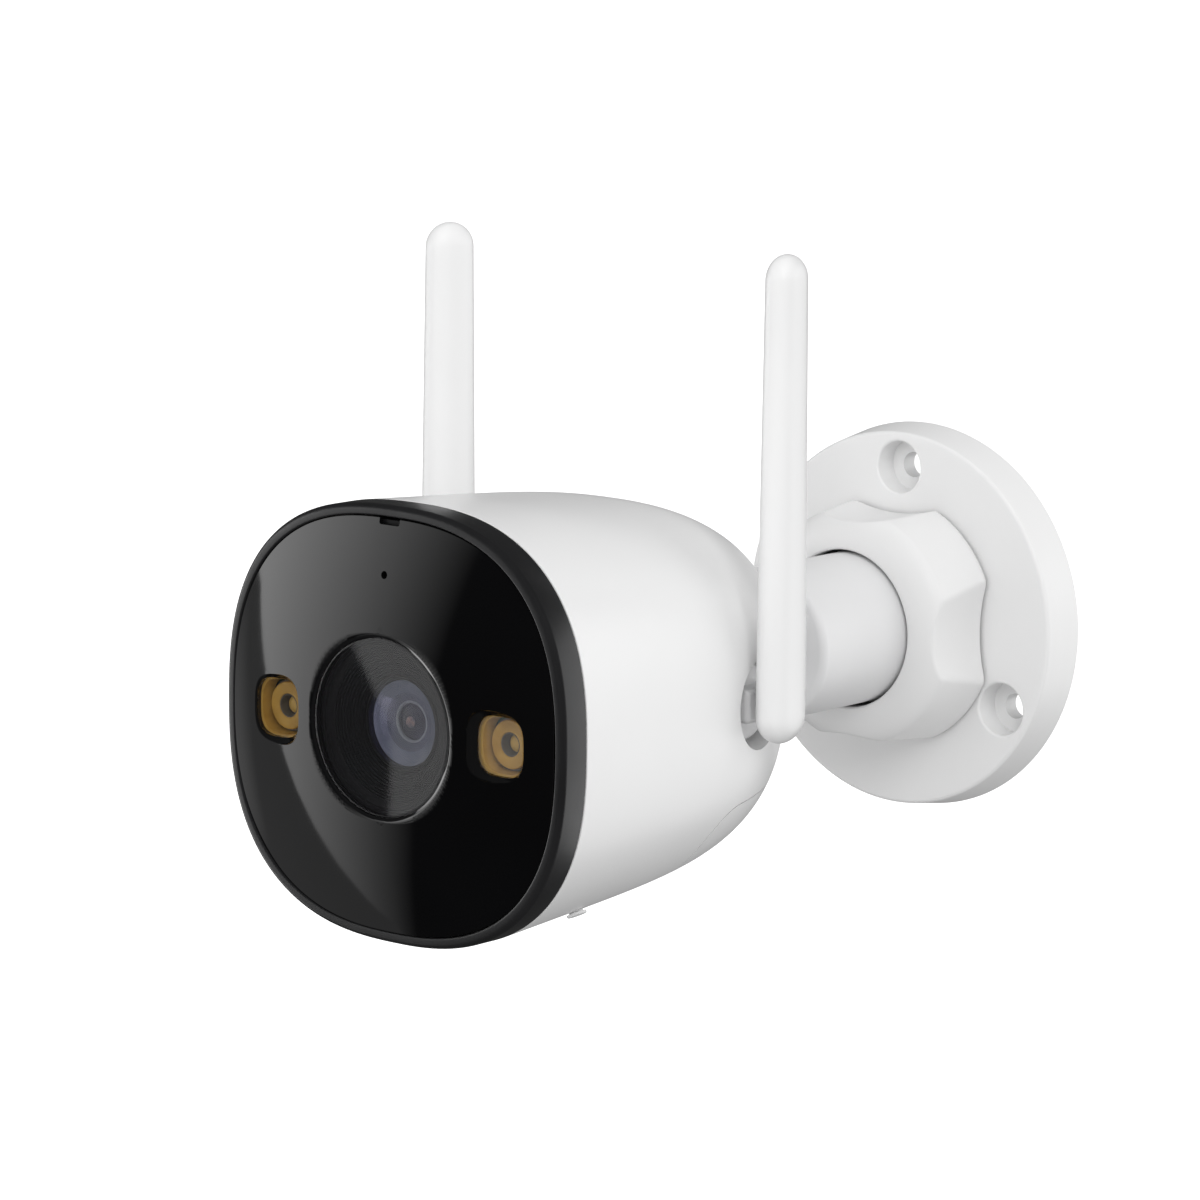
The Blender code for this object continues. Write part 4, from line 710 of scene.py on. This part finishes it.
def make_face_plate():
    edge = LIP_WIDTH + 0.18
    half_width, half_height = HALF_WIDTH - edge, HALF_HEIGHT - edge
    front, back = [], []
    count = 22
    for k in range(1, count + 1):
        share = k / count
        outline = rounded_square(half_width * share, half_height * share)
        front.append([(x, y, crown(x, y)) for x, y in outline])
    for grow, fall in ((1.001, 0.05), (1.002, 0.18), (1.0022, 0.4)):
        front.append([(x * grow, y * grow, crown(x, y) - fall) for x, y in outline])
    for share in (0.35, 0.7, 1.0):
        outline = rounded_square(half_width * share, half_height * share)
        back.append([(x, y, crown(x, y) - FACE_THICK) for x, y in outline])
    plate = lofted("face_plate_skin", back + front[::-1], gloss_black.material,
                   place=Vector((0, 0, -HEAD_DROP)), sharp=40)
    axis = Vector((0, 0, -HEAD_DROP))
    window = PLATE_APEX - RECESS
    cutters = [turned("lens_hole", [(0, 139), (LENS_HOLE, 139), (LENS_HOLE, window),
                                    (LENS_HOLE + 0.35, window + 0.16, 0.15),
                                    (LENS_HOLE + 1.3, PLATE_APEX - 0.35, 0.5),
                                    (LENS_HOLE + 1.5, PLATE_APEX + 1), (0, PLATE_APEX + 1)],
                      turn=FORWARD @ Matrix.Rotation(0.0131, 4, 'Z'), place=axis,
                      facets=160)]
    for side in (-1, 1):
        surface = crown(LED_OFFSET, 0)
        levels = [(LED_HALF, surface - 5), (LED_HALF, surface - 0.95)]
        levels += [(LED_HALF + 0.12, surface - 0.8), (LED_HALF + 0.7, surface - 0.25),
                   (LED_HALF + 0.95, surface + 0.05), (LED_HALF + 1.2, surface + 0.8)]
        rings = [[(x, y, level) for x, y in rounded_square(half, half, LED_POWER, 96)]
                 for half, level in levels]
        cutters.append(lofted("led_hole", rings, place=head_at(side * LED_OFFSET, 0, 0)))
    cutters.append(turned("mic", [(0, 139), (MIC_HOLE, 139), (MIC_HOLE, PLATE_APEX + 1),
                                  (0, PLATE_APEX + 1)], place=head_at(0, MIC_UP, 0), facets=32))
    cutters.append(block("notch", (4.4, 2 * 1.05, 12),
                         place=head_at(0, half_height, PLATE_APEX - 4), bevel=0.4))
    cut(plate, cutters)
    shade(plate, 28, True)
    show(plate, "head", "gloss_black", "face_plate")


# ---- lens group -------------------------------------------------------------------------------
def make_lens():
    axis = Vector((0, 0, -HEAD_DROP))
    window = PLATE_APEX - RECESS
    pane = turned("lens_window_skin", [(0, window - WINDOW_THICK),
                                       (LENS_HOLE - 0.06, window - WINDOW_THICK, 0.1),
                                       (LENS_HOLE - 0.06, window, 0.15),
                                       (LENS_HOLE - 0.6, window), (0, window)],
                  clear.material, place=axis, facets=160)
    shade(pane, 35, True)
    show(pane, "head", "clear_plastic", "lens_window")
    outer = LENS_HOLE - GAP
    ledge = window - 2.0
    flange_top = crown(17.0, 0) - FACE_THICK - GAP
    profile = [(8.2, window - 7.5), (outer, window - 7.5), (outer, flange_top - 1.2),
               (17.0, flange_top - 1.2), (17.0, flange_top), (outer, flange_top),
               (outer, window - 1.3, 0.2), (13.9, window - 1.3, 0.15), (13.9, ledge, 0.15),
               (12.5, ledge, 0.1)]
    steps = 10
    mouth, throat, fall = 12.4, 8.25, 2.9
    pitch = (mouth - throat) / steps
    for k in range(steps):
        radius = mouth - (mouth - throat) * k / steps
        level = ledge - 0.15 - fall * (k / steps) ** 1.1
        profile += [(radius, level + 0.08, 0.05), (radius - pitch * 0.5, level + 0.08, 0.05),
                    (radius - pitch * 0.62, level - 0.22), (radius - pitch * 0.95, level - 0.22)]
    profile.append((8.2, window - 5.2))
    hood = turned("lens_hood_skin", profile, hood_black.material, place=axis, facets=160,
                  sharp=30)
    show(hood, "head", "black_plastic", "lens_hood")
    rim = window - 4.8
    profile = [(4.7, 120.0), (7.9, 120.0, 0.3), (7.9, rim, 0.35), (7.45, rim, 0.1),
               (7.3, rim - 0.35), (7.3, rim - 0.8), (4.4, rim - 3.6), (4.4, rim - 4.4),
               (3.35, rim - 4.4), (3.35, rim - 5.0), (4.7, rim - 5.0)]
    barrel = turned("lens_barrel_skin", profile, hood_black.material, place=axis, facets=128,
                    sharp=30)
    show(barrel, "head", "black_plastic", "lens_barrel")
    edge = rim - 0.3
    radius, rise = 7.2, 2.6
    dome = [(0, edge - 1.6), (radius, edge - 1.6), (radius, edge, 0.1)]
    for i in range(1, 17):
        angle = math.pi / 2 * i / 16
        dome.append((radius * math.cos(angle), edge + rise * math.sin(angle)))
    front = turned("front_lens_skin", dome, lens_glass.material, place=axis, facets=128)
    show(front, "head", "clear_plastic", "front_lens")
    make_lens_inside(axis, rim)


def make_lens_inside(axis, rim):
    """Elements, baffles and the pupil that are seen through the front element; the funnel, the inner
    ring and the pupil are coloured bright as painted highlight.
    """
    # Bright bluish funnel colour: painted highlight, standing in for the glint inside the lens.
    funnel_painted_highlight = Look("lens_inner_painted_highlight", (0.19, 0.21, 0.29), 0.22).vary(300, 0.2).gloss(200, 0.05)
    level = rim - 1.0
    funnel = [(7.15, level, 0.05), (7.15, level - 0.5), (3.7, level - 1.9), (3.5, level - 1.9),
              (3.5, level - 1.5, 0.1), (6.6, level - 0.15)]
    piece = turned("lens_funnel", funnel, funnel_painted_highlight.material, place=axis, facets=96)
    show(piece, "head", "black_plastic")
    # Bright inner ring colour: painted highlight.
    ring = Look("lens_ring_painted_highlight", (0.6, 0.66, 0.72), 0.25, 0.2).vary(300, 0.2).gloss(200, 0.05)
    piece = turned("lens_inner_ring", [(3.05, level - 1.95), (3.5, level - 1.95, 0.05),
                                       (3.5, level - 1.35, 0.15), (3.05, level - 1.6, 0.05)],
                   ring.material, place=axis, facets=96)
    show(piece, "head", "black_plastic")
    second = Look("second_lens", (0.02, 0.026, 0.036), 0.06).vary(300, 0.2).gloss(200, 0.02)
    profile = [(0, level - 2.6), (3.0, level - 2.6), (3.0, level - 2.0)]
    for i in range(1, 9):
        angle = math.pi / 2 * i / 8
        profile.append((3.0 * math.cos(angle), level - 2.0 + 0.7 * math.sin(angle)))
    piece = turned("second_lens", profile, second.material, place=axis, facets=96)
    show(piece, "head", "clear_plastic")
    # Bright reddish pupil colour: painted highlight, mixed with random darker patches.
    pupil = Look("lens_pupil_painted_highlight", (0.7, 0.42, 0.36), 0.3).vary(900, 0.4, (0.2, 0.2, 0.22))
    pupil.gloss(300, 0.05)
    profile = [(0, level - 1.28), (0.95, level - 1.34, 0.05), (0.95, level - 1.22, 0.05),
               (0.4, level - 1.14), (0, level - 1.12)]
    piece = turned("lens_pupil_painted_highlight", profile, pupil.material, place=axis, facets=48)
    show(piece, "head", "clear_plastic")


# ---- lamps and top window ---------------------------------------------------------------------
def make_lamps():
    # Grey for the lamp base and the well liner: painted shade, standing in for the shadowed wall of
    # the well and the shadowed gap round the amber disc; the reflector itself is amber.
    grey_painted_shade = Look("lamp_grey_painted_shade", (0.2, 0.19, 0.17), 0.4, 0.3).vary(300, 0.2).gloss(300, 0.08)
    chip = Look("lamp_chip", (0.72, 0.46, 0.13), 0.35).vary(700, 0.15).gloss(300, 0.08)
    for side in (-1, 1):
        name = "right" if side > 0 else "left"
        place = head_at(side * LED_OFFSET, 0, 0)
        front = crown(LED_OFFSET, 0) - RECESS
        half = LED_HALF - 0.06
        pane = prism(f"led_window_skin_{name}", rounded_square(half, half, LED_POWER, 96),
                     front - WINDOW_THICK, front, clear.material, place=place, edge=0.15)
        shade(pane, 35, True)
        show(pane, "head", "clear_plastic", f"led_window_{name}")
        wall = [(4.6, front - 1.1), (4.9, front - 1.02), (6.2, front - 1.02),
                (6.2, front - 3.6), (4.4, front - 3.6)]
        rings = [[(x, y, level) for x, y in rounded_square(h, h, 2.9, 96)]
                 for h, level in wall]
        cup = lofted(f"lamp_cup_{name}", rings, amber.material, place=place, closed=True)
        show(cup, "head", "amber_plastic")
        top = front - 2.4
        low = top - 3.0
        # The base shows grey in a ring outside the smaller amber disc: painted shade for the gap
        # between the cup wall and the disc.
        body = turned(f"lamp_base_{name}",
                      [(0, low), (4.3, low), (4.3, low + 2.4, 0.1), (2.1, low + 2.4),
                       (2.1, top - 2.0), (0, top - 2.0)], grey_painted_shade.material, place=place, facets=96)
        show(body, "head", "amber_plastic", f"led_reflector_{name}")
        ring = turned(f"lamp_disc_{name}", [(2.0, low + 2.45), (4.0, low + 2.45, 0.1),
                                            (4.0, top, 0.25), (2.0, top, 0.12)],
                      amber.material, place=place, facets=96)
        show(ring, "head", "amber_plastic")
        # The well liner is grey: painted shade on the well's wall.
        liner = turned(f"lamp_well_{name}", [(1.65, top - 1.95), (1.95, top - 1.95),
                                             (1.95, top - 0.05, 0.05), (1.8, top - 0.05, 0.1)],
                       grey_painted_shade.material, place=place, facets=64)
        show(liner, "head", "amber_plastic")
        bead = [(0, top - 1.95), (1.55, top - 1.95)]
        for k in range(1, 9):
            angle = math.pi / 2 * k / 8
            bead.append((1.5 * math.cos(angle), top - 1.9 + 0.75 * math.sin(angle)))
        piece = turned(f"lamp_chip_{name}", bead, chip.material, place=place, facets=64)
        show(piece, "head", "amber_plastic")


def make_top_window():
    half_height = HALF_HEIGHT - LIP_WIDTH - GAP
    pane = block("light_sensor_skin", (NOTCH_WIDTH - 0.6, NOTCH_HEIGHT - 0.3, 1.4),
                 matt_black.material,
                 place=head_at(0, half_height - NOTCH_HEIGHT / 2, SEAT + 1.0), bevel=0.15)
    show(pane, "head", "clear_plastic", "light_sensor_window")


# ---- antennas ---------------------------------------------------------------------------------
def make_antennas():
    cant = math.radians(ANTENNA_CANT)
    for side in (-1, 1):
        name = "right" if side > 0 else "left"
        rings = []
        levels = []
        for k in range(15):
            levels.append(-ANTENNA_BOTTOM + 4.8 * (1 - math.cos(math.pi / 2 * (k + 0.35) / 14.35)))
        for k in range(1, 40):
            levels.append(-ANTENNA_BOTTOM + 4.8 + (ANTENNA_TOP + ANTENNA_BOTTOM - 9.0) * k / 40)
        for k in range(15):
            levels.append(ANTENNA_TOP - 4.2 * (1 - math.sin(math.pi / 2 * (k + 0.2) / 14.55)))
        for up in levels:
            share = 1 - ANTENNA_NARROWING * up / ANTENNA_TOP
            for left, radius in ((ANTENNA_TOP - up, 4.2), (up + ANTENNA_BOTTOM, 4.8)):
                if left < radius:
                    share *= math.sqrt(max(1 - (1 - left / radius) ** 2, 0.0))
            ring = []
            for broad, deep in rounded_square(ANTENNA_BREADTH * share, ANTENNA_DEPTH * share,
                                              2.3, 72):
                ring.append((side * (deep * math.cos(cant) - broad * math.sin(cant)),
                             broad * math.cos(cant) + deep * math.sin(cant), up))
            rings.append(ring)
        rod = lofted(f"antenna_skin_{name}", rings, white.material, Matrix.Identity(4),
                     Vector((side * ANTENNA_SIDE, -ANTENNA_FORWARD, 0)), sharp=60)
        show(rod, f"antenna_swing_{name}", "white_plastic", f"antenna_{name}")
        make_hub(side, name)


def make_hub(side, name):
    place = head_at(0, 0, POCKET_FORWARD)
    low = POCKET_FLOOR + GAP
    end = POCKET_FLOOR - POCKET_WALL - GAP - 2.2
    # The hub takes the darker white copy: painted shade.
    hub = turned("antenna_hub_skin_" + name,
                 [(0, end), (2.4, end, 0.3), (2.4, low), (6.6, low, 0.2), (6.6, low + 2, 0.5),
                  (0, low + 2)], white_painted_shade.material, side_turn(side), place, 96)
    reach = ANTENNA_SIDE - ANTENNA_DEPTH - GAP - 0.7
    start = low + 1.5
    middle = side * (start + reach) / 2
    lug = block("lug", (reach - start, 5.8, 9.0), bevel=0.9,
                place=Vector((middle, -POCKET_FORWARD, place.z)))
    cut(hub, [lug], 'UNION')
    shade(hub, 35, True)
    show(hub, f"antenna_swing_{name}", "white_plastic", f"antenna_hub_{name}")


# ---- hidden pieces keep their CAD meshes ------------------------------------------------------
def dress(look, *nodes):
    for node in nodes:
        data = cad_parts[node].data
        data.materials.clear()
        data.materials.append(look.material)


def dress_hidden():
    dress(matt_black, "clamp_ring", "inner_frame", "lens_holder", "reset_switch", "speaker",
          "service_tray", "antenna_lead_left", "antenna_lead_right")
    dress(gloss_black, "image_sensor", "memory_card")
    dress(lens_glass, "rear_lens")
    dress(filter_glass, "ir_cut_filter")
    dress(board_green, "sensor_board", "main_board", "led_board_left", "led_board_right")
    dress(steel, "stem_retainer", "board_screw_1", "board_screw_2", "frame_screw_1",
          "frame_screw_2", "frame_screw_3", "card_socket", "shield_can", "hub_clip_left",
          "hub_clip_right", "microphone")
    dress(aluminium, "heat_sink")
    dress(rubber, "reset_button", "microphone_boot")
    dress(ribbon, "sensor_cable")


make_wall_plate()
make_lock_nut()
make_arm()
make_knuckle()
make_housing()
make_fittings()
make_service_cover()
make_bezel()
make_face_plate()
make_lens()
make_lamps()
make_top_window()
make_antennas()
dress_hidden()


# ---- camera, floor and light ------------------------------------------------------------------
CARD_HIGH, CARD_LOW, CARD_RIGHT, CARD_HOLE = 0.52, -0.44, 0.7, 0.075
WORLD_SOFT, WORLD_DARK = 0.7, 0.1      # the room as matt surfaces see it, and as glossy ones do


def make_camera():
    azimuth, elevation, roll = math.radians(40.394), math.radians(9.631), math.radians(0.541)
    right = Vector((math.cos(azimuth), math.sin(azimuth), 0))
    forward = -Vector((math.sin(azimuth) * math.cos(elevation),
                       -math.cos(azimuth) * math.cos(elevation), math.sin(elevation)))
    up = right.cross(forward)
    x = right * math.cos(roll) + up * math.sin(roll)
    y = up * math.cos(roll) - right * math.sin(roll)
    data = bpy.data.cameras.new("camera")
    data.lens = 162.02
    data.sensor_width = 36.0
    data.clip_start = 0.05
    data.clip_end = 300.0
    camera = bpy.data.objects.new("camera", data)
    bpy.context.scene.collection.objects.link(camera)
    camera.matrix_world = Matrix.Translation(Vector((0.5823, -0.7746, 0.1659))) @ Matrix(
        (x, y, -forward)).transposed().to_4x4()
    bpy.context.scene.camera = camera


def area_light(name, place, size, power, shine=False):
    data = bpy.data.lights.new(name, 'AREA')
    data.energy = power
    data.size = size
    light = bpy.data.objects.new(name, data)
    bpy.context.scene.collection.objects.link(light)
    light.location = place
    aim = Vector((0, -0.09, 0)) - Vector(place)
    light.rotation_euler = aim.to_track_quat('-Z', 'Y').to_euler()
    light.visible_glossy = shine
    return light


def stage_mesh(name, points, faces, material):
    mesh = bpy.data.meshes.new(name)
    mesh.from_pydata(points, [], faces)
    mesh.materials.append(material)
    obj = bpy.data.objects.new(name, mesh)
    bpy.context.scene.collection.objects.link(obj)
    return obj


def glow(name, bright, dim, start, end, slant=0.0):
    """An emission that fades along local x - slant y, for cards that only reflections see."""
    made = bpy.data.materials.new(name)
    made.use_nodes = True
    tree = made.node_tree
    tree.nodes.clear()
    place = tree.nodes.new("ShaderNodeTexCoord")
    along = tree.nodes.new("ShaderNodeVectorMath")
    along.operation = 'DOT_PRODUCT'
    along.inputs[1].default_value = (1.0, -slant, 0.0)
    fade = tree.nodes.new("ShaderNodeMapRange")
    fade.inputs["From Min"].default_value = start
    fade.inputs["From Max"].default_value = end
    fade.inputs["To Min"].default_value = bright
    fade.inputs["To Max"].default_value = dim
    shine = tree.nodes.new("ShaderNodeEmission")
    out = tree.nodes.new("ShaderNodeOutputMaterial")
    tree.links.new(place.outputs["Object"], along.inputs[0])
    tree.links.new(along.outputs["Value"], fade.inputs["Value"])
    tree.links.new(fade.outputs["Result"], shine.inputs["Strength"])
    tree.links.new(shine.outputs[0], out.inputs["Surface"])
    return made


def soft_box(name, outline, material, nearer=0.0):
    """A flat card, seen only in reflections, across the way the face plate looks."""
    across = Vector((0.734, -0.679, 0.0))
    up = Vector((-0.130, -0.141, 0.981))
    away = across.cross(up)
    card = stage_mesh(name, [(x, y, 0) for x, y in outline], [list(range(len(outline)))],
                      material)
    middle = Vector((-0.800, -1.008, -0.230))
    card.matrix_world = Matrix.Translation(middle + away * nearer) @ Matrix(
        (across, up, away)).transposed().to_4x4()
    card.visible_camera = False
    card.visible_diffuse = False
    card.visible_shadow = False
    card.visible_transmission = False
    return card


def card_edge(high, low):
    """Points down the card's curved left edge, which shows as a line down the glossy face."""
    points = []
    for k in range(9):
        y = high + (low - high) * k / 8
        points.append((0.494 * math.exp(-3.8 * (y - CARD_LOW)) + 0.018 * y - 0.432, y))
    return points


def make_soft_boxes():
    split = 0.054
    upper_edge, lower_edge = card_edge(CARD_HIGH, split), card_edge(split, CARD_LOW)
    hole = CARD_HOLE
    upper = upper_edge + [(-hole, split), (-hole, hole), (hole, hole), (hole, 0.0),
                          (CARD_RIGHT, 0.0), (CARD_RIGHT, CARD_HIGH)]
    lower = lower_edge + [(CARD_RIGHT, CARD_LOW), (CARD_RIGHT, 0.0), (hole, 0.0),
                          (hole, -hole), (-hole, -hole), (-hole, split)]
    fading = glow("card_fading", 3.2, 0.0, -0.5, 0.14, 0.4)
    soft_box("card_upper", upper, fading)
    soft_box("card_lower", lower, fading)
    window = [(-0.03, hole), (0.005, 0.0), (0.003, -hole), (hole, -hole), (hole, hole)]
    soft_box("card_window", window, glow("card_even", 1.1, 0.7, -0.02, 0.06))
    side = [(-1.1, CARD_HIGH)] + upper_edge + lower_edge + [(0.05, -0.6), (-1.1, -0.6)]
    soft_box("card_side", side, glow("card_dim", 3.0, 0.35, -0.75, -0.42), 0.001)


def make_stage():
    far, low = 80.0, -0.9
    pale = bpy.data.materials.new("floor_pale")
    pale.use_nodes = True
    shader = pale.node_tree.nodes["Principled BSDF"]
    shader.inputs["Base Color"].default_value = (0.9, 0.9, 0.9, 1)
    shader.inputs["Emission Color"].default_value = (1, 1, 1, 1)
    shader.inputs["Emission Strength"].default_value = 1.0
    floor = stage_mesh("floor", [(-far, -far, low), (far, -far, low), (far, far, low),
                                 (-far, far, low)], [(0, 1, 2, 3)], pale)
    floor.visible_diffuse = False
    floor.visible_glossy = False
    world = bpy.data.worlds.new("studio")
    bpy.context.scene.world = world
    world.use_nodes = True
    tree = world.node_tree
    back = tree.nodes["Background"]
    back.inputs["Color"].default_value = (1, 1, 1, 1)
    soft = world_light(tree, WORLD_SOFT)
    dark = world_light(tree, WORLD_DARK)
    path = tree.nodes.new("ShaderNodeLightPath")
    first = tree.nodes.new("ShaderNodeMixShader")
    second = tree.nodes.new("ShaderNodeMixShader")
    tree.links.new(path.outputs["Is Glossy Ray"], first.inputs["Fac"])
    tree.links.new(soft, first.inputs[1])
    tree.links.new(dark, first.inputs[2])
    tree.links.new(path.outputs["Is Camera Ray"], second.inputs["Fac"])
    tree.links.new(first.outputs[0], second.inputs[1])
    tree.links.new(back.outputs[0], second.inputs[2])
    tree.links.new(second.outputs[0], tree.nodes["World Output"].inputs["Surface"])


def world_light(tree, strength):
    made = tree.nodes.new("ShaderNodeBackground")
    made.inputs["Strength"].default_value = strength
    return made.outputs[0]


LIGHTS = (
    ("top", (0.0, -0.1, 1.6), 1.2, 1.4),
    ("camera_right", (1.2, -0.9, 1.0), 0.9, 11.5),
    ("front", (0.1, -1.7, 0.3), 1.2, 8.0),
    ("back_right", (1.2, 0.8, 0.6), 0.9, 3.2),
)


def make_lights():
    for name, place, size, power in LIGHTS:
        area_light(name, place, size, power)
    behind = area_light("bezel_side", (0.8, 1.1, -0.15), 1.5, 11.0, shine=True)
    behind.visible_diffuse = False


make_camera()
make_stage()
make_soft_boxes()
make_lights()
bpy.context.scene.view_settings.view_transform = 'Standard'
